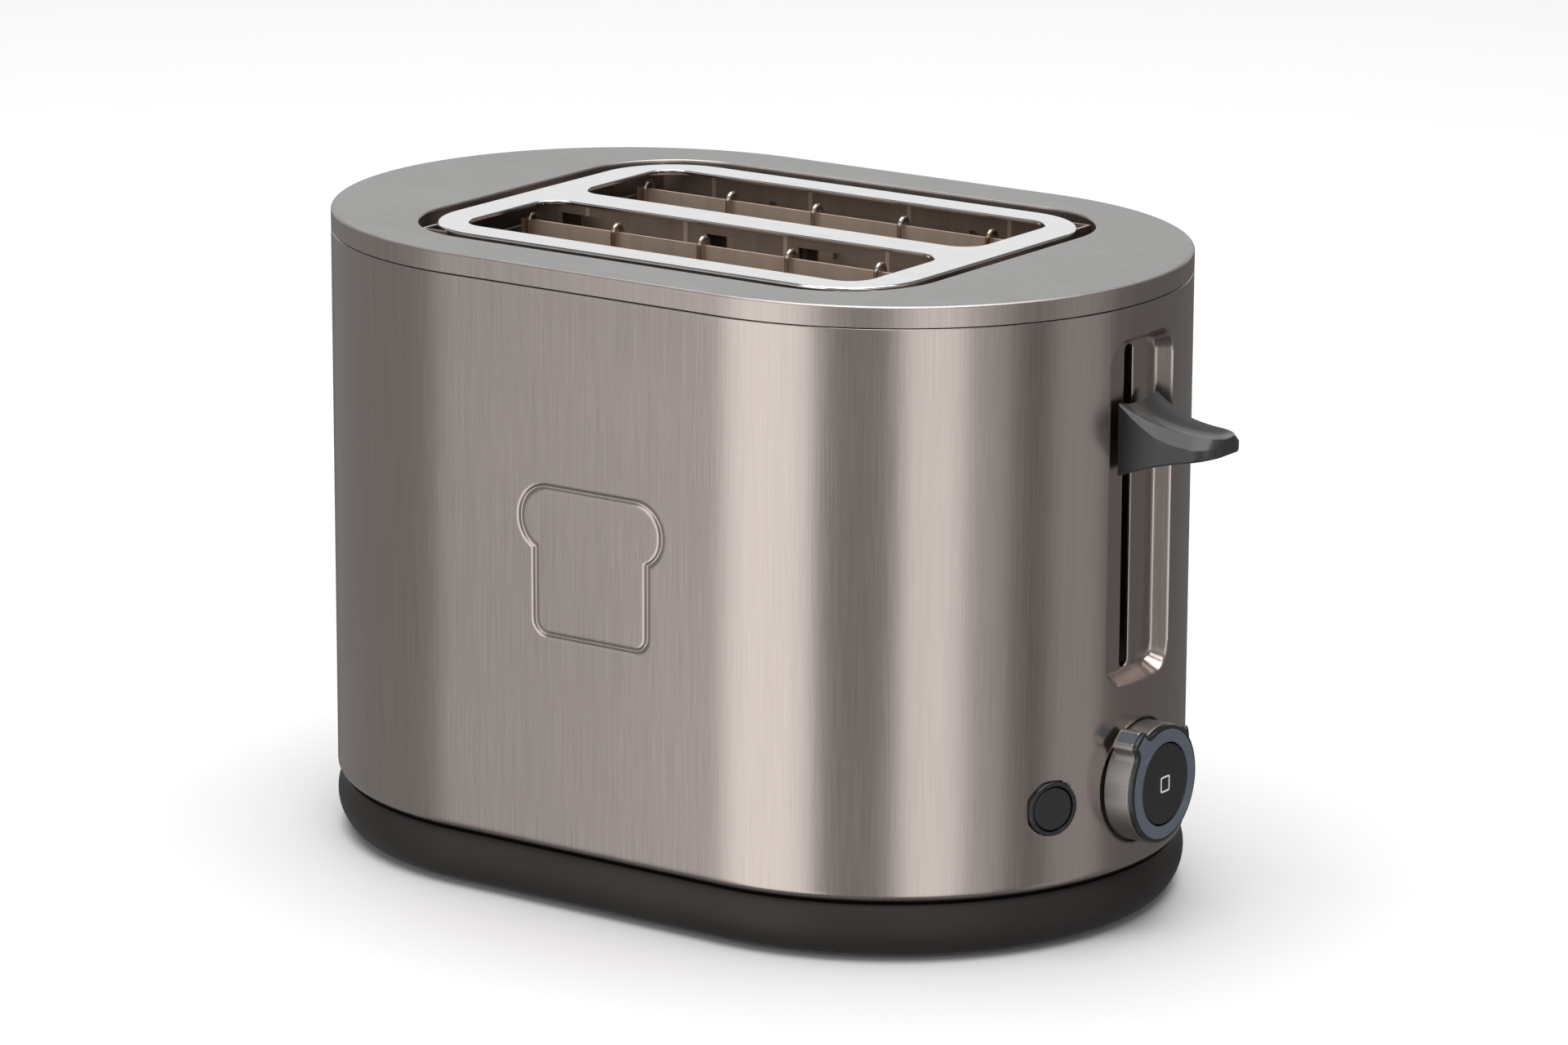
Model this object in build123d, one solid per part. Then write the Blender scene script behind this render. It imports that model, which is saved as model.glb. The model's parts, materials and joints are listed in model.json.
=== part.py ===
from build123d import *
from math import atan2, degrees, sqrt
import os

# Two-slice pop-up toaster with a stadium-shaped metal body.
# +X is the lever end, -Y the front with the pressed emblem, +Z up, millimetres.
# Everything is drawn about the body's own centre, then moved along X at export so
# that the whole outline, lever included, is centred on the origin.

# ---- driving dimensions ----------------------------------------------------
END_R = 85.0                       # radius of the two round ends, half the body's width
HALF_STRAIGHT = 46.8               # half the length of the flat sides
BODY_END = HALF_STRAIGHT + END_R   # tip of the round end
SHEET = 1.2                        # outer sheet

FOOT_H = 2.0
BASE_TOP = 16.6
SHELL_Z0 = 17.3
SHELL_Z1 = 179.5
LID_Z0 = 179.7
LID_TOP = 185.7
FLOOR_TOP = 4.2                    # top face of the base's floor
LIP_R = 80.0                       # locating lip of the base, inside the sheet
WELL_R = 77.5                      # inner face of the base's wall

LID_HOLE = (171.4, 133.4, 30.0)    # length, width, corner radius
FRAME = (161.0, 121.0, 24.0)
FRAME_Z = (184.4, 185.4)
FRAME_RIM_Z = 182.4                # foot of the frame's turned-down rim
SLOT = (138.4, 43.4, 8.0)
SLOT_Y = 28.3                      # bread slot centres, either side of the middle

PLATE_X = 75.0                     # inner face of the chassis end plates
CHASSIS_Z0 = 24.0
PLATE_TOP = 177.5
PANEL_Y = 57.5                     # inner face of the outer side panels
CENTRE_Y = 4.5                     # centre panels
BOARD_GAP = 21.5                   # heater board from the slot's centre
BOARD_Z = (46.0, 170.0)
RAIL_GAP = 16.2                    # guard rail from the slot's centre
RAIL_Z = (166.0, 179.8)
RAIL_T = 0.8

RECESS_HALF_W = 13.5               # lever recess at its floor
RECESS_Z = (74.5, 167.5)
RECESS_DEPTH = 6.0
RECESS_DRAFT = 0.55                # how far the recess widens per millimetre outwards
SLIT_W = 4.0
SLIT_Z = (74.7, 166.7)

LEVER_ROOT = 129.0
LEVER_TIP = 158.9
LEVER_HALF_W = 10.0
CARRIAGE_X = 84.0                  # carriage plate
LIFT_Z = 100.0                     # top of the bread lifters, lever up
ROD_X = 91.0
ROD_Y = 18.0
ROD_R = 2.5
ROD_TOP = 171.5
BUSH_CLEAR = 0.06
SPRING_Y = 30.0

KNOB_Z = 43.0
KNOB_R = 17.0
KNOB_X = (130.6, 138.6)
POINTER_X = 132.4                  # the pointer starts here, clear of the round end
SHAFT_R = 3.0
STOP_R = 11.6
POINTER_DEG = 130.0                # where the pointer stands, seen from +X, anticlockwise from +Y
BUTTON_Z = 41.5
BUTTON_DEG = 23.7                  # round buttons, either side of the knob
BUTTON_R = 6.2
BOARD_X = 106.0                    # circuit board
TRAY_HALF_W = 47.7

SHIFT_X = (BODY_END - LEVER_TIP) / 2

XZ = Plane.XZ
nodes = {}


# ---- helpers ---------------------------------------------------------------
def block(x, y, z):
    """A box between the given limits."""
    size = [v[1] - v[0] for v in (x, y, z)]
    mid = [(v[0] + v[1]) / 2 for v in (x, y, z)]
    return Pos(*mid) * Box(*size)


def both(low, high):
    """The limits of a span and of its mirror image."""
    return ((low, high), (-high, -low))


def rod_z(x, y, r, z):
    """An upright cylinder between two heights."""
    return Pos(x, y, z[0]) * extrude(Circle(r), z[1] - z[0])


def rod_x(y, z, r, x):
    """A cylinder along X between two ends."""
    return Pos(x[0], y, z) * Rot(0, 90, 0) * extrude(Circle(r), x[1] - x[0])


def stadium(grow, z):
    """The plan outline, grown or shrunk, between two heights."""
    outline = SlotOverall(2 * (BODY_END + grow), 2 * (END_R + grow))
    return Pos(0, 0, z[0]) * extrude(outline, z[1] - z[0])


def plate(size, z):
    """A rounded rectangle, length, width and corner radius, between two heights."""
    return Pos(0, 0, z[0]) * extrude(RectangleRounded(*size), z[1] - z[0])


def band(profile):
    """A profile, x as radius and z as height, carried right round the stadium."""
    half_turn = revolve(profile, Axis.Z, 180)
    side = extrude(Pos(-HALF_STRAIGHT, 0, 0) * Rot(0, 0, -90) * profile, 2 * HALF_STRAIGHT, dir=(1, 0, 0))
    ends = [Pos(HALF_STRAIGHT, 0, 0) * Rot(0, 0, -90) * half_turn]
    ends.append(Pos(-HALF_STRAIGHT, 0, 0) * Rot(0, 0, 90) * half_turn)
    return ends[0] + ends[1] + side + Rot(0, 0, 180) * side


def from_end(angle, height):
    """A frame on the +X end's axis whose local Z points outwards at the angle."""
    return Pos(HALF_STRAIGHT, 0, height) * Rot(0, 0, angle) * Rot(0, 90, 0)


def radial(angle, height, r, span):
    """A cylinder pointing outwards from the +X end's axis, between two radii."""
    return from_end(angle, height) * Pos(0, 0, span[0]) * extrude(Circle(r), span[1] - span[0])


def keep(name, *solids):
    """Store a node; several solids stay separate."""
    nodes[name] = list(solids)


# ---- casing ----------------------------------------------------------------
def recess(grow, outer_x):
    """The lever's drafted recess as a solid, from its floor out to outer_x."""
    floor_x = BODY_END - RECESS_DEPTH - grow
    width = 2 * (RECESS_HALF_W + grow)
    height = RECESS_Z[1] - RECESS_Z[0] + 2 * grow
    mid = (RECESS_Z[0] + RECESS_Z[1]) / 2
    wider = 2 * RECESS_DRAFT * (outer_x - floor_x)
    inner = Plane((floor_x, 0, mid), x_dir=(0, 1, 0), z_dir=(1, 0, 0))
    outer = Plane((outer_x, 0, mid), x_dir=(0, 1, 0), z_dir=(1, 0, 0))
    small = inner * RectangleRounded(width, height, 5)
    large = outer * RectangleRounded(width + wider, height + wider, 5 + wider / 2)
    return loft([small, large])


def slice_outline(grow):
    """A slice of bread seen from the front, as a flat shape."""
    loaf = RectangleRounded(38 + 2 * grow, 40 + 2 * grow, 4 + grow)
    crown = Pos(0, 13) * RectangleRounded(48 + 2 * grow, 18 + 2 * grow, 8.8 + grow)
    return loaf + crown


def make_shell():
    roll = 3.0
    with BuildSketch(XZ) as profile:
        with BuildLine():
            Polyline((80.5, SHELL_Z0), (END_R - roll, SHELL_Z0))
            RadiusArc((END_R - roll, SHELL_Z0), (END_R, SHELL_Z0 + roll), -roll)
            Polyline((END_R, SHELL_Z0 + roll), (END_R, SHELL_Z1), (END_R - SHEET, SHELL_Z1),
                     (END_R - SHEET, SHELL_Z0 + roll))
            RadiusArc((END_R - SHEET, SHELL_Z0 + roll), (END_R - roll, SHELL_Z0 + SHEET), roll - SHEET)
            Polyline((END_R - roll, SHELL_Z0 + SHEET), (80.5, SHELL_Z0 + SHEET), (80.5, SHELL_Z0))
        make_face()
    shell = band(profile.sketch)
    cup = recess(SHEET, 134.0) & stadium(-0.6, (SHELL_Z0, SHELL_Z1))
    shell = shell + cup - recess(0, 134.0)
    shell -= slit()
    shell -= rod_x(0, KNOB_Z, KNOB_R + 0.7, (110, 140))
    for side in (1, -1):
        shell -= radial(side * BUTTON_DEG, BUTTON_Z, 7.25, (70, 95))
    groove = slice_outline(1.0) - slice_outline(-0.4)
    shell -= Pos(4, -END_R + 0.5, 101) * extrude(XZ * groove, 2)
    shell -= Pos(30, END_R, 34) * Rot(90, 0, 0) * Cylinder(6.5, 8)
    keep("outer_shell", shell)


def slit():
    """The upright slit that the lever's arm travels in."""
    middle = (SLIT_Z[0] + SLIT_Z[1]) / 2
    face = Plane((110, 0, middle), x_dir=(0, 1, 0), z_dir=(1, 0, 0))
    return extrude(face * RectangleRounded(SLIT_W, SLIT_Z[1] - SLIT_Z[0], SLIT_W / 2 - 0.01), 40)


def make_top_cover():
    roof = 2.0
    edge = 1.0
    skirt_r = END_R - roof
    lip_r = END_R - SHEET - 0.2
    with BuildSketch(XZ) as profile:
        with BuildLine():
            Polyline((skirt_r - 3, LID_TOP), (END_R - edge, LID_TOP))
            RadiusArc((END_R - edge, LID_TOP), (END_R, LID_TOP - edge), edge)
            Polyline((END_R, LID_TOP - edge), (END_R, LID_Z0), (lip_r, LID_Z0), (lip_r, LID_Z0 - 4),
                     (lip_r - 1.6, LID_Z0 - 4), (lip_r - 1.6, LID_Z0 + 2), (skirt_r, LID_Z0 + 3.4),
                     (skirt_r, LID_TOP - roof), (skirt_r - 3, LID_TOP - roof), (skirt_r - 3, LID_TOP))
        make_face()
    length, width, corner = LID_HOLE
    wall_z = (LID_TOP - 13, LID_TOP - 0.6)
    outer_wall = plate((length + 3.2, width + 3.2, corner + 1.6), wall_z)
    cover = stadium(-3, (LID_TOP - roof, LID_TOP)) + outer_wall
    cover = cover + band(profile.sketch) - plate(LID_HOLE, (LID_TOP - 20, LID_TOP + 5))
    keep("top_cover", cover)


def make_slot_frame():
    length, width, corner = FRAME
    inside = (length - 2, width - 2, corner - 1)
    frame = plate(FRAME, (FRAME_RIM_Z, FRAME_Z[1])) - plate(inside, (FRAME_RIM_Z - 1, FRAME_Z[0]))
    for side in (1, -1):
        frame -= Pos(0, side * SLOT_Y, 0) * plate(SLOT, (FRAME_Z[0] - 5, FRAME_Z[1] + 5))
    top = frame.faces().sort_by(Axis.Z)[-1]
    keep("slot_frame", fillet(top.edges(), 0.4))


# ---- base ------------------------------------------------------------------
def base_band():
    """The base's wall: pinched at the neck, fullest in the middle, drawn in below."""
    with BuildSketch(XZ) as profile:
        with BuildLine():
            Polyline((WELL_R, FOOT_H), (81.3, FOOT_H))
            ThreePointArc((81.3, FOOT_H), (END_R, 10.3), (84.0, 15.7))
            Polyline((84.0, 15.7), (83.1, BASE_TOP), (LIP_R, BASE_TOP), (LIP_R, 24.0), (WELL_R, 24.0),
                     (WELL_R, FOOT_H))
        make_face()
    return band(profile.sketch)


BOSSES = [(x, y) for x in (-80, 80) for y in (-54, 54)]
FEET = [(x, y) for x in (-82, 82) for y in (-40, 40)]


def make_base():
    floor = stadium(-7.4, (FOOT_H, FLOOR_TOP))
    for x in range(-60, 61, 20):
        for y in (-24, 24):
            floor -= Pos(x, y, 3) * extrude(RectangleRounded(6, 34, 2.9), 8, both=True)
    base = base_band() + floor
    for x, y in BOSSES:
        base += rod_z(x, y, 4.2, (FLOOR_TOP, CHASSIS_Z0))
        base -= rod_z(x, y, 1.6, (12, CHASSIS_Z0 + 1))
    for y in both(48.6, 50.0):
        base += block((-66, 70), y, (FLOOR_TOP, 12))
    base += block((10, 42), (60, 76), (FLOOR_TOP, 25))
    base += block((85.5, 106), (-22, 22), (FLOOR_TOP, 25))
    mouth = block((-140, -60), (-TRAY_HALF_W - 0.5, TRAY_HALF_W + 0.5), (4.7, 13.5))
    keep("base", base - mouth)


def make_feet():
    feet = []
    for x, y in FEET:
        feet.append(Pos(x, y, 0) * extrude(Circle(9), FOOT_H, taper=-8))
    keep("rubber_feet", *feet)


def make_crumb_tray():
    inside = stadium(WELL_R - END_R - 0.1, (0, 20))
    half = TRAY_HALF_W - 0.7
    pan = block((-140, 72), (-half, half), (5.0, 10.0)) & inside
    hollow = block((-140, 71.2), (-half + 0.8, half - 0.8), (5.8, 12)) & stadium(WELL_R - END_R - 0.9, (0, 20))
    keep("crumb_tray", pan - hollow)
    front = base_band() & block((-140, -60), (-TRAY_HALF_W, TRAY_HALF_W), (5.0, 13.2))
    keep("tray_front", front)


# ---- toasting chassis ------------------------------------------------------
def make_end_plates():
    half = PANEL_Y + 0.8
    for name, side in (("end_plate_right", 1), ("end_plate_left", -1)):
        sheet = block((PLATE_X, PLATE_X + 1), (-half, half), (CHASSIS_Z0, PLATE_TOP))
        sheet += block((PLATE_X, PLATE_X + 10), (-half, half), (CHASSIS_Z0, CHASSIS_Z0 + 1))
        for y in ((-half, -half + 8), (-3, 3), (half - 8, half)):
            sheet += block((PLATE_X, PLATE_X + 1), y, (PLATE_TOP - 1, FRAME_Z[0]))
        for y in (-SLOT_Y, SLOT_Y):
            sheet -= block((PLATE_X - 1, PLATE_X + 2), (y - 5.5, y + 5.5), (31, 118))
        for x, y in BOSSES[2:]:
            sheet -= rod_z(x, y, 1.6, (CHASSIS_Z0 - 1, CHASSIS_Z0 + 2))
        keep(name, sheet if side > 0 else mirror(sheet, Plane.YZ))


def make_panels():
    span = (-PLATE_X, PLATE_X)
    low, high = CHASSIS_Z0 + 1, FRAME_Z[0]
    for name, side in (("front", -1), ("rear", 1)):
        outer = block(span, sorted((side * PANEL_Y, side * (PANEL_Y + 0.8))), (low, high))
        for x in (-35, 36):
            outer -= block((x - 1.2, x + 1.2), sorted((side * 50, side * 60)), (172, 178))
        keep("side_panel_" + name, outer)
        inner = block(span, sorted((side * CENTRE_Y, side * (CENTRE_Y + 0.6))), (40, high))
        for x in ((-14, -4), (18, 38), (-66, -46)):
            inner -= block(x, sorted((side * 4, side * 6)), (172, 181.4))
        keep("centre_panel_" + name, inner)


def make_guard_rails():
    rails = []
    for slot_side in (-1, 1):
        for gap in (-RAIL_GAP, RAIL_GAP):
            y = slot_side * SLOT_Y + gap
            rails.append(block((-PLATE_X, PLATE_X), (y - RAIL_T / 2, y + RAIL_T / 2), RAIL_Z))
    keep("guard_rails", *rails)


def make_heaters():
    """Four mica boards, each with its flat resistance ribbon laid in rows on the bread side."""
    for name, y, face in (("front_outer", -SLOT_Y - BOARD_GAP, 1), ("front_inner", -SLOT_Y + BOARD_GAP, -1),
                          ("rear_inner", SLOT_Y - BOARD_GAP, 1), ("rear_outer", SLOT_Y + BOARD_GAP, -1)):
        board = block((-PLATE_X, PLATE_X), (y - 0.3, y + 0.3), BOARD_Z)
        keep("heater_board_" + name, board)
        surface = y + face * 0.3
        rows = []
        for row in range(12):
            z = 52 + row * 10
            rows.append(block((-66, 66), sorted((surface, surface + face * 0.25)), (z, z + 1.6)))
        keep("heating_ribbon_" + name, *rows)


def guard(y, inward):
    """A wire cage hooked over its rail; inward is +1 or -1, towards the bread."""
    wire, reach = 0.8, 2.0
    bottom, top = 48.0, RAIL_Z[1]
    cage = None
    for k in range(-2, 3):
        x = -10 + 30.5 * k
        path = Wire([Line((x, y + inward * reach, bottom), (x, y + inward * reach, top)),
                     ThreePointArc((x, y + inward * reach, top), (x, y, top + reach),
                                   (x, y - inward * reach, top)),
                     Line((x, y - inward * reach, top), (x, y - inward * reach, top - 4))])
        bar = sweep(Plane(path @ 0, z_dir=path % 0) * Circle(wire), path)
        cage = bar if cage is None else cage + bar
    for z in (50, 100, 150):
        cage += rod_x(y + inward * (reach - 1.3), z, wire, (-72.5, 68))
    return cage


def make_guards():
    for name, y, inward in (("front_outer", -SLOT_Y - RAIL_GAP, 1), ("front_inner", -SLOT_Y + RAIL_GAP, -1),
                            ("rear_inner", SLOT_Y - RAIL_GAP, 1), ("rear_outer", SLOT_Y + RAIL_GAP, -1)):
        keep("bread_guard_" + name, guard(y, inward))


# ---- carriage --------------------------------------------------------------
def make_lifters():
    for name, y in (("bread_lifter_front", -SLOT_Y), ("bread_lifter_rear", SLOT_Y)):
        shelf = block((-80, CARRIAGE_X), (y - 4.5, y + 4.5), (LIFT_Z - 1, LIFT_Z))
        for k in range(-3, 4):
            shelf -= Pos(20 * k, y, LIFT_Z) * extrude(RectangleRounded(12, 3, 1.4), 4, both=True)
        web = block((-80, CARRIAGE_X), (y - 4.5, y - 3.5), (LIFT_Z - 10, LIFT_Z))
        keep(name, shelf + web)


def arm_profile():
    """The carriage arm seen from the side, tapering to the part that passes the slit."""
    x0 = CARRIAGE_X + 1.5
    points = [(x0, 125), (104, 137.5), (128, 138.5), (145, 138.5), (145, 142.5), (128, 145.5), (104, 145.5),
              (x0, 150)]
    return XZ * make_face(Polyline(*points, close=True))


def make_carriage():
    carriage = block((CARRIAGE_X, CARRIAGE_X + 1.5), (-34, 34), (88, 150))
    for z in ((104, 105.2), (118.8, 120)):
        carriage += block((CARRIAGE_X, 98), (-34, 34), z)
    carriage += extrude(arm_profile(), 1.1, both=True)
    for y in (-ROD_Y, ROD_Y):
        carriage -= rod_z(ROD_X, y, 5, (100, 125))
    keep("carriage", carriage)
    bushes = []
    for y in (-ROD_Y, ROD_Y):
        sleeve = rod_z(ROD_X, y, 5, (102.5, 121.5))
        bushes.append(sleeve - rod_z(ROD_X, y, ROD_R + BUSH_CLEAR, (100, 125)))
    keep("carriage_bushes", *bushes)
    keep("armature", block((88, 101), (-9, 9), (101, 104)))


def make_lever():
    """A flared paddle: deep at the root, scooped on top, round at the tip."""
    with BuildSketch(XZ) as side:
        with BuildLine():
            Spline((LEVER_ROOT, 152.3), (134, 149.6), (140, 147.2), (147, 145.7), (LEVER_TIP, 145.1))
            Polyline((LEVER_TIP, 145.1), (LEVER_TIP, 140.2))
            Spline((LEVER_TIP, 140.2), (153, 138.6), (147, 137.3), (141, 136.0), (135, 134.1), (LEVER_ROOT, 131.6))
            Polyline((LEVER_ROOT, 131.6), (LEVER_ROOT, 152.3))
        make_face()
    length = LEVER_TIP - LEVER_ROOT
    middle = (LEVER_TIP + LEVER_ROOT) / 2
    plan = Pos(middle, 0) * Rectangle(length, 2 * LEVER_HALF_W)
    plan = fillet(plan.vertices().sort_by(Axis.X)[-2:], 7.5)
    lever = extrude(side.sketch, 20, both=True) & extrude(plan, 200)
    rim = lever.faces().sort_by(Axis.Z)[-1].edges()
    lever = chamfer(rim.sort_by(Axis.X)[1:], 1.6)
    keep("lever", lever - extrude(arm_profile(), 1.1, both=True))


def make_rods():
    rods = [rod_z(ROD_X, y, ROD_R, (25, ROD_TOP)) for y in (-ROD_Y, ROD_Y)]
    keep("guide_rods", *rods)
    upper = block((PLATE_X + 1, 98), (-36, 36), (ROD_TOP - 1.5, ROD_TOP))
    lower = block((PLATE_X + 1, 108), (-40, 40), (25, 26.5))
    for y in (-ROD_Y, ROD_Y):
        upper -= rod_z(ROD_X, y, ROD_R, (160, 180))
        lower -= rod_z(ROD_X, y, ROD_R, (20, 30))
    upper -= rod_z(ROD_X, SPRING_Y, 1.5, (160, 180))
    keep("upper_rod_bracket", upper)
    keep("lower_rod_bracket", lower)


def make_spring():
    low, high, radius, wire = 120.5, ROD_TOP - 2, 3.2, 0.4
    coil = Pos(0, 0, low) * Helix(2.5, high - low, radius)
    start = Plane(coil @ 0, z_dir=coil % 0)
    keep("return_spring", Pos(ROD_X, SPRING_Y, 0) * sweep(start * Circle(wire), coil, is_frenet=True))


# ---- controls --------------------------------------------------------------
def knob_outline(grow):
    """The knob's face outline: a circle whose rim swells smoothly into a pointer."""
    rim = KNOB_R + grow
    half, tip, corner, valley = 3.5 + grow, 20.5 + grow, 1.5 + grow, 2.5 - grow
    valley_x = sqrt((rim + valley) ** 2 - (half + valley) ** 2)
    start = degrees(atan2(half + valley, valley_x))
    with BuildSketch() as face:
        with BuildLine():
            CenterArc((0, 0), rim, start, 360 - 2 * start)
            Line((tip, corner - half), (tip, half - corner))
            for side in (1, -1):
                CenterArc((valley_x, side * (half + valley)), valley, side * (180 + start), side * (90 - start))
                Line((valley_x, side * half), (tip - corner, side * half))
                CenterArc((tip - corner, side * (half - corner)), corner, 0, side * 90)
        make_face()
    return Rot(0, 0, POINTER_DEG) * face.sketch


def on_knob(x):
    """The plane of the knob's face at x, its first axis along +Y and its second up."""
    return Plane((x, 0, KNOB_Z), x_dir=(0, 1, 0), z_dir=(1, 0, 0))


def make_knob():
    back, front = KNOB_X
    web = 134.6
    barrel = rod_x(0, KNOB_Z, KNOB_R, (back, front))
    barrel += extrude(on_knob(POINTER_X) * knob_outline(0), front - POINTER_X)
    barrel -= extrude(on_knob(back - 1) * (Circle(15) - Circle(5)), 3)
    barrel -= rod_x(0, KNOB_Z, STOP_R + 0.4, (web, front + 1))
    barrel += rod_x(0, KNOB_Z, SHAFT_R, (110.5, web))
    barrel -= rod_x(0, KNOB_Z, 1.58, (100, 140))
    keep("knob_barrel", barrel)
    hole = Circle(STOP_R + 0.4)
    keep("knob_face", extrude(on_knob(front) * (knob_outline(-0.2) - hole), 1.2))
    keep("knob_pointer_ring", extrude(on_knob(front + 1.2) * (knob_outline(-1.4) - hole), 0.4))
    cap = fillet(rod_x(0, KNOB_Z, STOP_R, (136.6, 140.2)).edges().sort_by(Axis.X)[-1], 0.5)
    keep("stop_button", cap + rod_x(0, KNOB_Z, 1.5, (111.4, 136.7)))


def make_buttons():
    bezels = []
    for name, side in (("defrost_button", -1), ("reheat_button", 1)):
        angle = side * BUTTON_DEG
        bezel = radial(angle, BUTTON_Z, 7.2, (76, 85.6)) + radial(angle, BUTTON_Z, 7.7, (85.1, 86.0))
        bezel -= radial(angle, BUTTON_Z, BUTTON_R + 0.3, (78, 90))
        bezels.append(bezel - radial(angle, BUTTON_Z, 2.56, (70, 90)))
        cap = radial(angle, BUTTON_Z, BUTTON_R, (82.2, 85.9))
        keep(name, cap + radial(angle, BUTTON_Z, 2.5, (75.7, 82.3)))
    keep("button_bezels", *bezels)


def make_carrier():
    """The plastic plate behind the end wall that carries the controls."""
    with BuildSketch(XZ) as profile:
        with Locations((82.1, 44.2)):
            Rectangle(3.0, 40.0)
    arc = revolve(profile.sketch, Axis.Z, 84)
    carrier = Pos(HALF_STRAIGHT, 0, 0) * Rot(0, 0, -42) * arc
    carrier -= rod_x(0, KNOB_Z, SHAFT_R + 0.06, (110, 140))
    for side in (1, -1):
        carrier -= radial(side * BUTTON_DEG, BUTTON_Z, 7.25, (70, 95))
    keep("control_carrier", carrier)


def make_electronics():
    board_face = BOARD_X + 1.6
    board = block((BOARD_X, board_face), (-40, 40), (26.5, 66))
    keep("control_board", board)
    pot = rod_x(0, KNOB_Z, 9, (board_face, 117)) - rod_x(0, KNOB_Z, SHAFT_R + 0.06, (100, 120))
    keep("browning_control", pot)
    switches = [rod_x(0, KNOB_Z, 2.4, (board_face, 109.6))]
    for side in (1, -1):
        body = radial(side * BUTTON_DEG, BUTTON_Z, 3, (60, 73.6))
        switches.append(body - block((60, board_face), (-60, 60), (20, 70)))
    keep("button_switches", *switches)
    relay = block((98.5, BOARD_X), (24, 38), (32, 46))
    capacitor = rod_x(-30, 54, 5, (98.5, BOARD_X))
    chip = block((103.5, BOARD_X), (-8, 8), (50, 58))
    keep("board_components", relay, capacitor, chip)


def make_magnet():
    x = 94.5
    yoke = block((87.5, 102), (-9, 9), (26.5, 28.5))
    core = yoke + rod_z(x, 0, 3.5, (28.5, 43.4))
    keep("electromagnet_core", core)
    coil = rod_z(x, 0, 7, (28.5, 41)) - rod_z(x, 0, 3.5, (20, 50))
    keep("electromagnet_coil", coil)


def make_contacts():
    keep("contact_block", block((88, 98), (-37, -27), (26.5, 38)))
    leaves = []
    for y in (-34.5, -30.5):
        blade = block((89, 89.6), (y, y + 2.5), (38, 46.2))
        leaves.append(blade + block((89, 96), (y, y + 2.5), (45.8, 46.2)))
    keep("contact_leaves", *leaves)


def make_mains():
    terminal = block((12, 40), (61, 75), (25, 37))
    for x in (18, 26, 34):
        terminal -= rod_z(x, 68, 2, (30, 40))
    keep("terminal_block", terminal)
    grommet = Pos(30, END_R, 34) * Rot(90, 0, 0) * extrude(Circle(6.5), SHEET + 0.8)
    grommet += Pos(30, END_R - SHEET, 34) * Rot(90, 0, 0) * extrude(Circle(8.5), 3)
    grommet -= Pos(30, END_R + 1, 34) * Rot(90, 0, 0) * extrude(Circle(3.4), 12)
    keep("cord_grommet", grommet)


def make_screws():
    screws = []
    for x, y in BOSSES:
        screws.append(rod_z(x, y, 1.6, (12, 25)) + rod_z(x, y, 3.2, (25, 27)))
    keep("chassis_screws", *screws)
    fixings = []
    for y in (-38, 38):
        fixings.append(rod_z(103, y, 3, (26.5, 28.5)))
    keep("bracket_screws", *fixings)


for make in (make_shell, make_top_cover, make_slot_frame, make_base, make_feet, make_crumb_tray,
             make_end_plates, make_panels, make_guard_rails, make_heaters, make_guards, make_lifters,
             make_carriage, make_lever, make_rods, make_spring, make_knob, make_buttons, make_carrier,
             make_electronics, make_magnet, make_contacts, make_mains, make_screws):
    make()

os.makedirs("parts", exist_ok=True)
for node_name, solids in nodes.items():
    moved = [Pos(SHIFT_X, 0, 0) * solid for solid in solids]
    shape = moved[0] if len(moved) == 1 else Compound(children=moved)
    export_step(shape, os.path.join("parts", node_name + ".step"))
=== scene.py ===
import json
from math import atan2, cos, exp, hypot, pi, radians, sin, sqrt, tan

import bmesh
import bpy
from bpy.props import FloatProperty, FloatVectorProperty, PointerProperty
from mathutils import Matrix, Vector
from mathutils.geometry import tessellate_polygon

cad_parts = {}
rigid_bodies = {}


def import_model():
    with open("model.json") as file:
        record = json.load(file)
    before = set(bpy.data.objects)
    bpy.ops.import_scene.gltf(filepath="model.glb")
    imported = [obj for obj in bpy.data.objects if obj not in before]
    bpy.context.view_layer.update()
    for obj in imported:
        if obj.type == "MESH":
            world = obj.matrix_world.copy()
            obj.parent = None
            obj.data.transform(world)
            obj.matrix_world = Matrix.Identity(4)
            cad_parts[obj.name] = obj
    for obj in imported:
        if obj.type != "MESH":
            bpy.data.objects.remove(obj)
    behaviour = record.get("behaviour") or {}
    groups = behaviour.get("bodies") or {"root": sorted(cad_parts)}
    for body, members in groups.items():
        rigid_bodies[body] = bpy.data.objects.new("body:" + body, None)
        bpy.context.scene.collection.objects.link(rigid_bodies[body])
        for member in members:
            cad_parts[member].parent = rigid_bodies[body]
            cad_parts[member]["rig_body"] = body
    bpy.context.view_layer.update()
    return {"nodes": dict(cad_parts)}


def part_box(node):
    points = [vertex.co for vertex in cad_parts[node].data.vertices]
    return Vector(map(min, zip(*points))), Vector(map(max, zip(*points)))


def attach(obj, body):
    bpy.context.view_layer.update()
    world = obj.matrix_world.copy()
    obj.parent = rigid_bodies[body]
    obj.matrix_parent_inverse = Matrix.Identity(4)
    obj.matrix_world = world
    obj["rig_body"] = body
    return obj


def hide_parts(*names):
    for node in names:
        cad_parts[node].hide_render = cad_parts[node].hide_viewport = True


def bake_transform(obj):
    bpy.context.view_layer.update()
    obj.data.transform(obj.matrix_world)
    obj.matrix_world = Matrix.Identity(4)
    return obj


bl_info = {
    "name": "Two-slice toaster",
    "version": (1, 0, 0),
    "blender": (4, 5, 0),
    "location": "3D View > Sidebar > Toaster",
    "description": "Dresses the toaster's frame with its casing, controls, works and finishes",
    "category": "Object",
}

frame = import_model()

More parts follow.
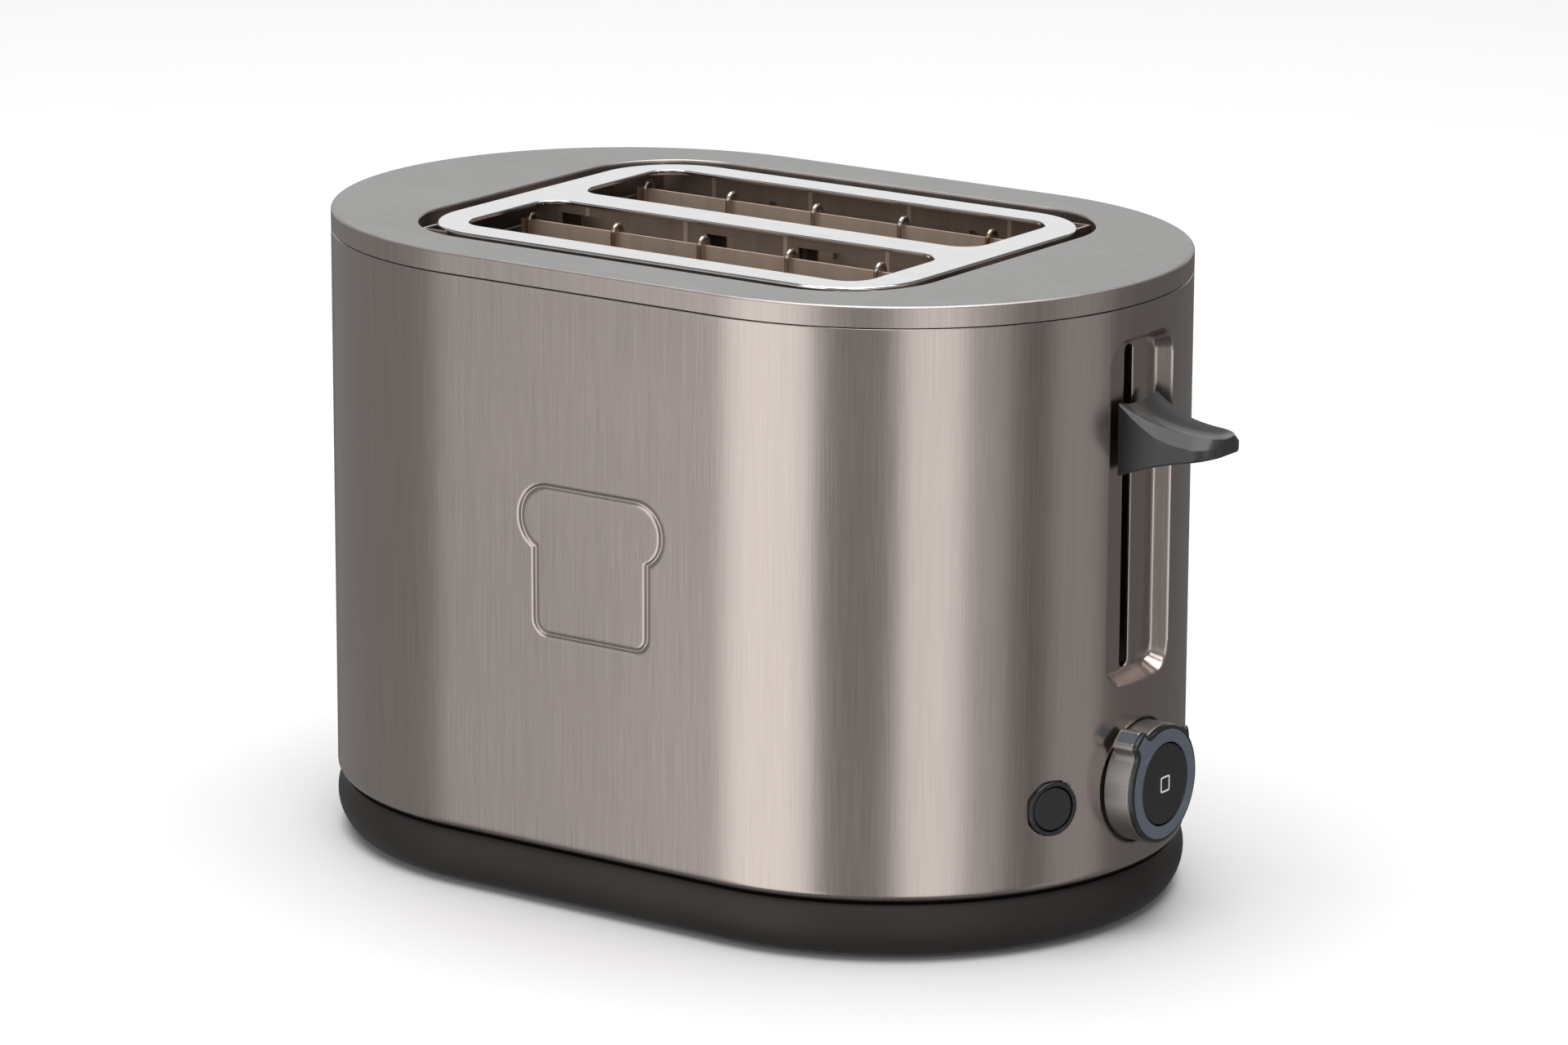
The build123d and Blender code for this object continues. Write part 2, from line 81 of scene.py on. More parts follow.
MM = 0.001
SHELL_LOW, SHELL_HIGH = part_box("outer_shell")
MIDDLE_X = (SHELL_LOW.x + SHELL_HIGH.x) / 2
END_R = (SHELL_HIGH.y - SHELL_LOW.y) / 2 / MM           # radius of the round ends
HALF_STRAIGHT = (SHELL_HIGH.x - SHELL_LOW.x) / 2 / MM - END_R
QUARTER = END_R * pi / 2

SLOT_Y = 28.3                        # bread slot centres, either side of the middle
SLOT_OPENING = (69.2, 21.7, 8.0)     # half length, half width and corner radius
LID_OPENING = (85.7, 66.7, 30.0)
FRAME_CORNER = 24.0
RAIL_GAP = 16.2                      # guard rails from the slot's centre
FIRST_HOOK_X = -71.0
KNOB_R = 17.0
BUTTON_DEG = 23.7                    # round buttons, either side of the knob
BARREL_TINT = (0.66, 0.71, 0.74)     # the knob's barrel against the wall's colour


def span(node, axis):
    """A node's two limits along an axis, in millimetres from the middle of the body."""
    low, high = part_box(node)
    shift = MIDDLE_X if axis == 0 else 0.0
    return (low[axis] - shift) / MM, (high[axis] - shift) / MM


def place(x, y, z):
    """A point in metres in the frame, from millimetres about the middle of the body."""
    return Vector((MIDDLE_X + x * MM, y * MM, z * MM))


# ---- node graphs -----------------------------------------------------------
class Value:
    """A node's output that takes part in arithmetic; each operation adds a Math node."""

    def __init__(self, graph, socket):
        self.graph, self.socket = graph, socket

    def _math(self, operation, first, second):
        return self.graph.node("ShaderNodeMath", {"operation": operation}, {0: first, 1: second})

    def __add__(self, other):
        return self._math("ADD", self, other)

    def __radd__(self, other):
        return self._math("ADD", other, self)

    def __sub__(self, other):
        return self._math("SUBTRACT", self, other)

    def __rsub__(self, other):
        return self._math("SUBTRACT", other, self)

    def __mul__(self, other):
        return self._math("MULTIPLY", self, other)

    def __rmul__(self, other):
        return self._math("MULTIPLY", other, self)


class Graph:
    """A node tree; every node comes from one method."""

    def __init__(self, tree):
        self.tree = tree

    def node(self, kind, settings=None, sockets=None, out=0):
        made = self.tree.nodes.new(kind)
        for name, value in (settings or {}).items():
            if name == "stops":
                ramp = made.color_ramp
                ramp.elements[0].position, ramp.elements[0].color = value[0]
                ramp.elements[1].position, ramp.elements[1].color = value[-1]
                for position, colour in value[1:-1]:
                    ramp.elements.new(position).color = colour
            else:
                setattr(made, name, value)
        for name, value in (sockets or {}).items():
            if isinstance(value, Value):
                self.tree.links.new(value.socket, made.inputs[name])
            else:
                made.inputs[name].default_value = value
        return Value(self, made.outputs[out]) if made.outputs else made


class Finish(Graph):
    """A material and the patterns it is built from."""

    def __init__(self, name):
        self.material = bpy.data.materials.new(name)
        self.material.use_nodes = True
        super().__init__(self.material.node_tree)
        self.tree.nodes.clear()
        self.coordinates = self.node("ShaderNodeTexCoord", out="Object")

    def stretched(self, scale, turn=(0.0, 0.0, 0.0)):
        """Object coordinates, turned and then scaled along each axis."""
        return self.node("ShaderNodeMapping", {"vector_type": "POINT"},
                         {"Vector": self.coordinates, "Scale": scale, "Rotation": turn})

    def noise(self, scale, detail=3.0, where=None, rough=0.55):
        return self.node("ShaderNodeTexNoise", {"noise_dimensions": "3D"},
                         {"Vector": where or self.coordinates, "Scale": scale, "Detail": detail,
                          "Roughness": rough}, out="Fac")

    def band(self, value, low, high, first=0.0, last=1.0):
        """A value taken smoothly from one range to another."""
        return self.node("ShaderNodeMapRange", {"interpolation_type": "SMOOTHSTEP", "clamp": True},
                         {"Value": value, "From Min": low, "From Max": high, "To Min": first, "To Max": last})

    def tint(self, factor, first, last):
        return self.node("ShaderNodeMix", {"data_type": "RGBA", "blend_type": "MIX"},
                         {"Factor": factor, 6: (*first, 1.0) if isinstance(first, tuple) else first,
                          7: (*last, 1.0) if isinstance(last, tuple) else last}, out=2)

    def bump(self, height, depth, normal=None):
        sockets = {"Height": height, "Distance": depth, "Strength": 1.0}
        if normal:
            sockets["Normal"] = normal
        return self.node("ShaderNodeBump", {}, sockets)

    def edge_highlight(self, width):
        """High along convex edges, where the painted highlight lightens the colour."""
        point = self.node("ShaderNodeNewGeometry", out="Pointiness")
        return self.band(point, 0.52, 0.52 + width)

    def done(self, **sockets):
        """Ends the material in a Principled shader; names use underscores for spaces."""
        named = {name.replace("_", " "): value for name, value in sockets.items()}
        shader = self.node("ShaderNodeBsdfPrincipled", {}, named)
        self.node("ShaderNodeOutputMaterial", {}, {"Surface": shader})
        return self.material


class Pattern(Graph):
    """A Geometry Nodes tree with named inputs that ends in real geometry with its material."""

    def __init__(self, name, **inputs):
        super().__init__(bpy.data.node_groups.new(name, "GeometryNodeTree"))
        face = self.tree.interface
        face.new_socket("Geometry", in_out="INPUT", socket_type="NodeSocketGeometry")
        for label, (kind, value) in inputs.items():
            socket = face.new_socket(label.replace("_", " "), in_out="INPUT", socket_type="NodeSocket" + kind)
            if value is not None:
                socket.default_value = value
        face.new_socket("Finish", in_out="INPUT", socket_type="NodeSocketMaterial")
        face.new_socket("Geometry", in_out="OUTPUT", socket_type="NodeSocketGeometry")
        self.start = self.tree.nodes.new("NodeGroupInput")

    def input(self, label):
        return Value(self, self.start.outputs[label])

    def rod(self, path, radius, sides=10):
        """A round bar along a curve."""
        ring = self.node("GeometryNodeCurvePrimitiveCircle", {"mode": "RADIUS"},
                         {"Resolution": sides, "Radius": radius})
        return self.node("GeometryNodeCurveToMesh", {},
                         {"Curve": path, "Profile Curve": ring, "Fill Caps": True})

    def row(self, shape, count, start, step):
        """Copies of a shape in a straight row."""
        points = self.node("GeometryNodeMeshLine", {"mode": "OFFSET"},
                           {"Count": count, "Start Location": start, "Offset": step})
        return self.copies(shape, points)

    def copies(self, shape, points):
        return self.node("GeometryNodeInstanceOnPoints", {}, {"Points": points, "Instance": shape})

    def join(self, *shapes):
        joined = self.tree.nodes.new("GeometryNodeJoinGeometry")
        for shape in shapes:
            self.tree.links.new(shape.socket, joined.inputs[0])
        return Value(self, joined.outputs[0])

    def close(self, shape):
        real = self.node("GeometryNodeRealizeInstances", {}, {"Geometry": shape})
        ended = self.node("GeometryNodeSetMaterial", {}, {"Geometry": real, "Material": self.input("Finish")})
        self.node("NodeGroupOutput", {}, {"Geometry": ended})

    def make(self, name, mesh, material, **values):
        """Runs the tree on a mesh and returns an object with the plain result."""
        host = bpy.data.objects.new(name, mesh)
        bpy.context.scene.collection.objects.link(host)
        modifier = host.modifiers.new(name, "NODES")
        modifier.node_group = self.tree
        given = {label.replace("_", " "): value for label, value in values.items()}
        given["Finish"] = material
        for item in self.tree.interface.items_tree:
            if item.item_type == "SOCKET" and item.in_out == "INPUT" and item.name in given:
                modifier[item.identifier] = given[item.name]
        bpy.context.view_layer.update()
        ready = host.evaluated_get(bpy.context.evaluated_depsgraph_get())
        result = bpy.data.meshes.new_from_object(ready)
        host.modifiers.remove(modifier)
        host.data = result
        if not len(result.polygons):
            raise RuntimeError(f"{name} came out empty")
        return host


# ---- finishes --------------------------------------------------------------
def shades(colour, spread):
    """A darker and a lighter version of a colour."""
    return tuple(c * (1 - spread) for c in colour), tuple(min(1.0, c * (1 + spread)) for c in colour)


def brushed(name, colour, rough, grain, stretch, unrolled=False, depth=0.000006):
    """Brushed sheet: fine grain along one direction, with slow clouding and faint scratches."""
    f = Finish(name)
    cloud = f.noise(14.0, 2.0)
    if unrolled:
        f.coordinates = f.node("ShaderNodeTexCoord", out="UV")
    fine = f.noise(grain, 4.0, f.stretched(stretch), 0.7)
    broad = f.noise(grain / 5.0, 2.0, f.stretched(stretch))
    tone = fine * 0.65 + broad * 0.2 + cloud * 0.15
    base = f.tint(f.band(tone, 0.32, 0.68), *shades(colour, 0.07))
    return f.done(Base_Color=base, Metallic=1.0, Roughness=rough - 0.07 + fine * 0.09 + cloud * 0.05,
                  Normal=f.bump(fine, depth), Specular_IOR_Level=0.5)


def satin_lid(name, top, side, rough):
    """The lid's satin grey, grained lengthways, with the wall's own brushed tone round its edge."""
    f = Finish(name)
    normal = f.node("ShaderNodeNewGeometry", out="Normal")
    upward = f.band(f.node("ShaderNodeSeparateXYZ", {}, {"Vector": normal}, out="Z"), 0.45, 0.95)
    along = f.noise(1500.0, 4.0, f.stretched((0.05, 1.0, 1.0)), 0.7)
    down = f.noise(1300.0, 4.0, f.stretched((1.0, 1.0, 0.02)), 0.7)
    grain = along * upward + down * (1 - upward)
    cloud = f.noise(18.0, 2.0)
    roof = f.tint(f.band(along * 0.8 + cloud * 0.2, 0.3, 0.7), *shades(top, 0.1))
    rim = f.tint(f.band(down, 0.3, 0.7), *shades(side, 0.07))
    return f.done(Base_Color=f.tint(upward, rim, roof), Metallic=1.0,
                  Roughness=rough - 0.15 + upward * 0.17 + grain * 0.08 + cloud * 0.03,
                  Normal=f.bump(grain, 0.00001))


def moulded(name, colour, rough, grain=900.0, depth=0.00002, coat=0.0, highlight_strength=0.5):
    """Moulded plastic or rubber: a fine spark-eroded grain, faint flow clouds and a painted highlight along
    convex edges.
    """
    f = Finish(name)
    pits = f.noise(grain, 3.0, rough=0.7)
    cloud = f.noise(22.0, 3.0)
    lighter = tuple(min(1.0, c * 1.7 + 0.012) for c in colour)
    base = f.tint(f.band(cloud, 0.3, 0.75) * 0.22 + f.band(pits, 0.4, 0.8) * 0.12, colour, lighter)
    # painted highlight: convex edges are lifted towards the lighter tone, by the given strength
    base = f.tint(f.edge_highlight(0.06) * highlight_strength, base, lighter)
    return f.done(Base_Color=base, Metallic=0.0, Roughness=rough - 0.05 + pits * 0.1 + cloud * 0.06,
                  Normal=f.bump(pits, depth), Coat_Weight=coat, Coat_Roughness=0.08)


def rolled(name, colour, rough, wave=0.00003, heat=None):
    """Rolled bright sheet: slow waves that bend reflections, fine rolling lines and heat colour."""
    f = Finish(name)
    lines = f.noise(1500.0, 2.0, f.stretched((0.03, 1.0, 1.0)))
    waves = f.noise(38.0, 2.0)
    spots = f.noise(150.0, 4.0)
    base = f.tint(f.band(lines, 0.35, 0.7), tuple(c * 0.9 for c in colour), colour)
    if heat:
        base = f.tint(f.band(spots * 0.4 + waves * 0.6, 0.42, 0.66), base, heat)
    return f.done(Base_Color=base, Metallic=1.0, Roughness=rough - 0.03 + lines * 0.05 + spots * 0.06,
                  Normal=f.bump(waves, wave * 20, f.bump(lines, wave * 0.2)))


def reflector(name, colour):
    """Warm reflector sheet: its own colour by the bread; the panels past the heaters carry painted shade, a
    darker copy of the sheet, crossed by upright seams left at the sheet's own colour.
    """
    f = Finish(name)
    along = f.node("ShaderNodeSeparateXYZ", {}, {"Vector": f.coordinates}, out="X")
    across = f.node("ShaderNodeSeparateXYZ", {}, {"Vector": f.coordinates}, out="Y")
    from_seam = f.node("ShaderNodeMath", {"operation": "PINGPONG"}, {0: along, 1: 0.0175}, out=0)
    seam = 1 - f.band(from_seam, 0.0006, 0.0008)
    side = f.node("ShaderNodeMath", {"operation": "ABSOLUTE"}, {0: across}, out=0)
    from_slot = f.node("ShaderNodeMath", {"operation": "ABSOLUTE"}, {0: side - SLOT_Y * MM}, out=0)
    # painted shade: the panels past the heaters, far from the slot's middle, go over to a darker copy of the
    # sheet
    shaded_panels = f.band(from_slot, 0.0175, 0.022)
    cloud = f.noise(30.0, 3.0)
    streak = f.noise(260.0, 3.0, f.stretched((1.0, 1.0, 0.1)))
    tone = f.band(cloud * 0.6 + streak * 0.4, 0.3, 0.7)
    sheet = f.tint(tone, tuple(c * 0.78 for c in colour), colour)
    # the painted-shade copy of the sheet: the same colour at about half its brightness
    painted_shade_sheet = f.tint(tone, tuple(c * 0.36 for c in colour), tuple(c * 0.5 for c in colour))
    # the seams take no painted shade, so they show as lines of the sheet's own colour
    return f.done(Base_Color=f.tint(shaded_panels * (1 - seam), sheet, painted_shade_sheet), Metallic=0.25,
                  Roughness=0.36 + streak * 0.14, Normal=f.bump(cloud, 0.00003))


def circuit(name):
    """Green board with etched tracks under its lacquer."""
    f = Finish(name)
    cells = f.node("ShaderNodeTexBrick", {"offset": 0.5}, {
        "Vector": f.stretched((1.0, 1.0, 1.0), (0.0, radians(90), radians(90))), "Scale": 130.0,
        "Mortar Size": 0.05, "Color1": (0, 0, 0, 1), "Color2": (0, 0, 0, 1),
        "Mortar": (1, 1, 1, 1)}, out="Fac")
    speck = f.noise(260.0)
    base = f.tint(cells * 0.7, (0.012, 0.085, 0.035), (0.05, 0.21, 0.09))
    base = f.tint(f.band(speck, 0.62, 0.7), base, (0.4, 0.36, 0.28))
    return f.done(Base_Color=base, Metallic=0.0, Roughness=0.3 + speck * 0.15, Normal=f.bump(cells, 0.00008))


def mica(name):
    """Layered mica sheet: pale flakes with silvery glints."""
    f = Finish(name)
    flakes = f.node("ShaderNodeTexVoronoi", {"feature": "F1"}, {
        "Vector": f.stretched((1.0, 1.0, 1.6)), "Scale": 120.0, "Randomness": 1.0}, out="Distance")
    cloud = f.noise(45.0, 4.0)
    base = f.tint(f.band(flakes, 0.1, 0.8), (0.42, 0.34, 0.24), (0.22, 0.16, 0.1))
    base = f.tint(f.band(cloud, 0.5, 0.75), base, (0.55, 0.47, 0.36))
    return f.done(Base_Color=base, Metallic=0.15, Roughness=0.35 + cloud * 0.3, Normal=f.bump(flakes, 0.0001))


def glowing_ribbon(name):
    """Resistance ribbon, turned brown by heat in slow bands."""
    f = Finish(name)
    bands = f.noise(60.0, 3.0)
    base = f.tint(f.band(bands, 0.35, 0.65), (0.3, 0.25, 0.22), (0.16, 0.11, 0.09))
    return f.done(Base_Color=base, Metallic=0.9, Roughness=0.32 + bands * 0.2, Normal=f.bump(bands, 0.0002))


def wound(name):
    """Enamelled copper wire, wound in close turns, with painted shade in the grooves between turns."""
    f = Finish(name)
    turns = f.node("ShaderNodeTexWave", {"wave_type": "BANDS", "bands_direction": "Z"},
                   {"Vector": f.coordinates, "Scale": 640.0, "Distortion": 0.4}, out="Fac")
    # painted shade: the colour darkens between the turns, where the grooves lie
    base = f.tint(turns, (0.2, 0.06, 0.025), (0.72, 0.31, 0.14))
    return f.done(Base_Color=base, Metallic=0.8, Roughness=0.42 - turns * 0.15, Normal=f.bump(turns, 0.0002))


def casing_colour():
    return tuple(bpy.context.scene.toaster_casing.colour)


def finishes():
    """One maker for each finish in the record."""
    casing = bpy.context.scene.toaster_casing
    barrel_colour = tuple(c * share for c, share in zip(casing_colour(), BARREL_TINT))
    return {
        "brushed_titanium": lambda n: brushed(n, casing_colour(), casing.roughness, 1.0 / casing.grain,
                                              (1.0, 0.016, 1.0), unrolled=True),
        "satin_grey_lid": lambda n: satin_lid(n, tuple(casing.lid_colour), casing_colour(), 0.4),
        "polished_chrome": lambda n: rolled(n, (0.86, 0.86, 0.86), 0.09, 0.000002),
        "dark_base_plastic": lambda n: moulded(n, (0.015, 0.0125, 0.0105), 0.46, 1100.0, highlight_strength=0.25),
        "foot_rubber": lambda n: moulded(n, (0.018, 0.018, 0.018), 0.8, 600.0, 0.00004),
        "tray_metal": lambda n: rolled(n, (0.45, 0.44, 0.42), 0.34, heat=(0.34, 0.28, 0.22)),
        "chassis_steel": lambda n: rolled(n, (0.46, 0.4, 0.36), 0.26, heat=(0.34, 0.25, 0.19)),
        "reflector_steel": lambda n: reflector(n, (0.66, 0.51, 0.41)),
        "white_nylon": lambda n: moulded(n, (0.62, 0.6, 0.55), 0.5, 500.0),
        "charcoal_plastic": lambda n: moulded(n, (0.024, 0.024, 0.024), 0.36, 1000.0, 0.000006, 0.3, 0.25),
        "bright_wire": lambda n: rolled(n, (0.72, 0.66, 0.6), 0.16, heat=(0.5, 0.36, 0.26)),
        "titanium_plastic": lambda n: brushed(n, barrel_colour, 0.42, 1400.0, (0.05, 1.0, 1.0)),
        "gloss_black": lambda n: moulded(n, (0.012, 0.012, 0.013), 0.2, 700.0, 0.000004, 0.4, 0.3),
        "slate_blue": lambda n: moulded(n, (0.088, 0.105, 0.135), 0.4, 900.0, 0.00001, highlight_strength=0.3),
        "button_black": lambda n: moulded(n, (0.017, 0.017, 0.019), 0.36, 900.0, 0.00001, highlight_strength=0.4),
        "board_green": circuit,
        "component_black": lambda n: moulded(n, (0.025, 0.025, 0.027), 0.4, 500.0),
        "copper_wire": wound,
        "brass_leaf": lambda n: rolled(n, (0.62, 0.44, 0.18), 0.25, heat=(0.45, 0.27, 0.1)),
        "mica_board": mica,
        "ribbon_wire": glowing_ribbon,
    }


finish_store = {}


def finish(slot):
    """The material of a record slot, made once."""
    if slot not in finish_store:
        finish_store[slot] = finishes()[slot](slot)
    return finish_store[slot]


# ---- outlines and solids ---------------------------------------------------
def rounded(half_length, half_width, corner, steps=10, centre=(0.0, 0.0)):
    """An outline maker for a rounded rectangle; with full corners it is a stadium or a circle."""
    def outline(grow):
        points = []
        for quarter, (side_x, side_y) in enumerate(((1, 1), (-1, 1), (-1, -1), (1, -1))):
            cx = centre[0] + side_x * (half_length - corner)
            cy = centre[1] + side_y * (half_width - corner)
            straight = (half_length if quarter % 2 == 0 else half_width) - corner
            for k in range(steps + 1 if straight > 1e-6 else steps):
                turn = pi / 2 * (quarter + k / steps)
                points.append((cx + (corner + grow) * cos(turn), cy + (corner + grow) * sin(turn)))
        return points
    return outline


def circle(radius, steps=12, centre=(0.0, 0.0)):
    return rounded(radius, radius, radius, steps, centre)


def stadium(grow=0.0, steps=36):
    return rounded(HALF_STRAIGHT + END_R + grow, END_R + grow, END_R + grow, steps)


def pointer_outline(radius, turn):
    """The browning knob's outline: a circle that swells smoothly into a pointer."""
    def arc(cx, cy, r, start, end, steps):
        return [(cx + r * cos(start + (end - start) * k / steps),
                 cy + r * sin(start + (end - start) * k / steps))
                for k in range(steps + 1)]

    def outline(grow):
        rim, half, tip = radius + grow, 3.5 + grow, radius + 3.5 + grow
        corner, valley = max(0.06, 1.5 + grow), 2.5 - grow
        along = sqrt((rim + valley) ** 2 - (half + valley) ** 2)
        start = atan2(half + valley, along)
        points = arc(0, 0, rim, start, 2 * pi - start, 72)
        points += arc(along, -half - valley, valley, pi - start, pi / 2, 6)[1:]
        points += arc(tip - corner, corner - half, corner, -pi / 2, 0, 5)
        points += arc(tip - corner, half - corner, corner, 0, pi / 2, 5)
        points += arc(along, half + valley, valley, -pi / 2, start - pi, 6)[:-1]
        return [(u * cos(turn) - v * sin(turn), u * sin(turn) + v * cos(turn)) for u, v in points]
    return outline


def line(*corners, steps=4):
    """A profile through (grow, height) corners; a third number rounds that corner."""
    points = []
    for i, corner in enumerate(corners):
        point = Vector(corner[:2])
        if len(corner) < 3:
            points.append(point)
            continue
        back = (Vector(corners[i - 1][:2]) - point).normalized()
        ahead = (Vector(corners[i + 1][:2]) - point).normalized()
        half = back.angle(ahead) / 2
        reach = corner[2] / tan(half)
        centre = point + (back + ahead).normalized() * corner[2] / sin(half)
        first, last = point + back * reach - centre, point + ahead * reach - centre
        turn = atan2(first.x * last.y - first.y * last.x, first.dot(last))
        points.append(point + back * reach * 1.3)
        for k in range(steps + 1):
            points.append(centre + Matrix.Rotation(turn * k / steps, 2) @ first)
        points.append(point + ahead * reach * 1.3)
    return [(p.x, p.y) for p in points]


def upright(u, v, height):
    return u, v, height


def facing(angle, centre_z, centre_x=0.0):
    """A frame at the lever end whose height points outwards at an angle about the end's axis."""
    turn = radians(angle)

    def at(u, v, height):
        return (centre_x + height * cos(turn) - u * sin(turn),
                height * sin(turn) + u * cos(turn), centre_z + v)
    return at


def add_solid(bm, at, outer, profile, holes=()):
    """Sweeps an outline along a profile, with holes, and closes both ends with flat faces."""
    ends = []
    for outline, steps in [(outer, profile), *holes]:
        rings = [[bm.verts.new(at(u, v, height)) for u, v in outline(grow)] for grow, height in steps]
        for low, high in zip(rings, rings[1:]):
            for i in range(len(low)):
                bm.faces.new((low[i - 1], low[i], high[i], high[i - 1]))
        ends.append((rings[0], rings[-1]))
    for end in (0, 1):
        loops = [pair[end] for pair in ends]
        corners = [v for loop in loops for v in loop]
        for triangle in tessellate_polygon([[v.co for v in loop] for loop in loops]):
            bm.faces.new([corners[k] for k in triangle])


def smooth_mesh(bm, angle):
    """Smooth faces, with edges sharper than the angle kept crisp."""
    for face in bm.faces:
        face.smooth = True
    for edge in bm.edges:
        edge.smooth = len(edge.link_faces) != 2 or edge.calc_face_angle(0.0) < radians(angle)


def to_mesh(name, bm):
    for vertex in bm.verts:
        vertex.co = place(*vertex.co)
    mesh = bpy.data.meshes.new(name)
    bm.to_mesh(mesh)
    bm.free()
    return mesh


def wear(thing, slot, *nodes):
    """Gives a piece its finish and its body, and hides the nodes it stands for."""
    thing.data.materials.clear()
    thing.data.materials.append(finish(slot))
    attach(thing, frame["nodes"][nodes[0]]["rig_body"])
    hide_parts(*nodes)
    return thing


def piece(name, bm, slot, *nodes, angle=35, closed=True):
    """Turns a drawing in millimetres into a finished piece."""
    if closed:
        bmesh.ops.remove_doubles(bm, verts=bm.verts, dist=1e-4)
        bmesh.ops.recalc_face_normals(bm, faces=bm.faces)
    smooth_mesh(bm, angle)
    thing = bpy.data.objects.new(name, to_mesh(name, bm))
    bpy.context.scene.collection.objects.link(thing)
    return wear(thing, slot, *nodes)


def smoothed(node, slot, angle=32):
    """A merged, smooth copy of a node, in its place."""
    bm = bmesh.new()
    bm.from_mesh(frame["nodes"][node].data)
    bmesh.ops.remove_doubles(bm, verts=bm.verts, dist=2e-6)
    bmesh.ops.dissolve_degenerate(bm, dist=1e-6, edges=bm.edges)
    smooth_mesh(bm, angle)
    mesh = bpy.data.meshes.new("fine_" + node)
    bm.to_mesh(mesh)
    bm.free()
    thing = bpy.data.objects.new("fine_" + node, mesh)
    bpy.context.scene.collection.objects.link(thing)
    return wear(thing, slot, node)


def kept(slot, *nodes):
    """Nodes whose shape stays; only their finish changes."""
    for node in nodes:
        thing = frame["nodes"][node]
        if not thing.material_slots:
            thing.data.materials.append(finish(slot))
        for held in thing.material_slots:
            held.material = finish(slot)


# ---- casing ----------------------------------------------------------------
def spaced(*stops):
    """Numbers from one stop to the next; each stop is (value, step up to the next one)."""
    values = []
    for (start, step), (end, _) in zip(stops, stops[1:]):
        count = max(1, round((end - start) / step))
        values += [start + (end - start) * k / count for k in range(count)]
    return values + [stops[-1][0]]


def wall_point(s, off):
    """Where the unrolled length s, from the lever end's tip, lies on the plan outline."""
    along, side, r = abs(s), (1 if s >= 0 else -1), END_R + off
    if along <= QUARTER:
        return HALF_STRAIGHT + r * cos(along / END_R), side * r * sin(along / END_R)
    if along <= QUARTER + 2 * HALF_STRAIGHT:
        return HALF_STRAIGHT - (along - QUARTER), side * r
    turn = (along - QUARTER - 2 * HALF_STRAIGHT) / END_R
    return -HALF_STRAIGHT - r * sin(turn), side * r * cos(turn)


def box_distance(u, v, half_u, half_v, corner):
    """Distance from a rounded rectangle's edge, negative inside."""
    du, dv = abs(u) - half_u + corner, abs(v) - half_v + corner
    return hypot(max(du, 0.0), max(dv, 0.0)) + min(max(du, dv), 0.0) - corner


def soft_min(a, b, blend):
    share = max(blend - abs(a - b), 0.0) / blend
    return min(a, b) - share * share * blend / 4


RECESS = {"half_width": 13.5, "z": (74.5, 167.5), "depth": 6.0, "draft": 0.55, "corner": 5.0}
SLIT_HALF = 2.0
SLIT_Z = (74.7, 166.7)


def recess_x(y, z):
    """The lever recess's surface: a flat floor with drafted walls and soft creases."""
    middle = sum(RECESS["z"]) / 2
    outside = box_distance(y, z - middle, RECESS["half_width"], (RECESS["z"][1] - RECESS["z"][0]) / 2,
                           RECESS["corner"]) / RECESS["draft"]
    rise = -soft_min(0.0, -outside, 0.45)
    from_slit = box_distance(y, z - sum(SLIT_Z) / 2, SLIT_HALF, (SLIT_Z[1] - SLIT_Z[0]) / 2, SLIT_HALF)
    return HALF_STRAIGHT + END_R - RECESS["depth"] + rise - 0.45 * exp(-max(0.0, from_slit) / 0.22)


def holes_in_wall():
    """Openings as (s, z, radius, half length): the slit, the knob's, the two buttons' and the cord's."""
    knob_z = sum(span("stop_button", 2)) / 2
    low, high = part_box("defrost_button")
    button_z = (low.z + high.z) / 2 / MM
    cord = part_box("cord_grommet")
    cord_x, cord_z = ((cord[0].x + cord[1].x) / 2 - MIDDLE_X) / MM, (cord[0].z + cord[1].z) / 2 / MM
    slit_middle = sum(SLIT_Z) / 2
    button_s = END_R * radians(BUTTON_DEG)
    return [(0.0, slit_middle, SLIT_HALF, (SLIT_Z[1] - SLIT_Z[0]) / 2 - SLIT_HALF),
            (0.0, knob_z, KNOB_R + 0.7, 0.0), (-button_s, button_z, 7.35, 0.0), (button_s, button_z, 7.35, 0.0),
            (QUARTER + HALF_STRAIGHT - cord_x, cord_z, 6.55, 0.0)]


def slice_distance(x, z):
    """Distance from the bread-slice outline pressed into the front."""
    return min(box_distance(x, z, 19.0, 20.0, 4.0), box_distance(x, z - 13.0, 24.0, 9.0, 8.8))


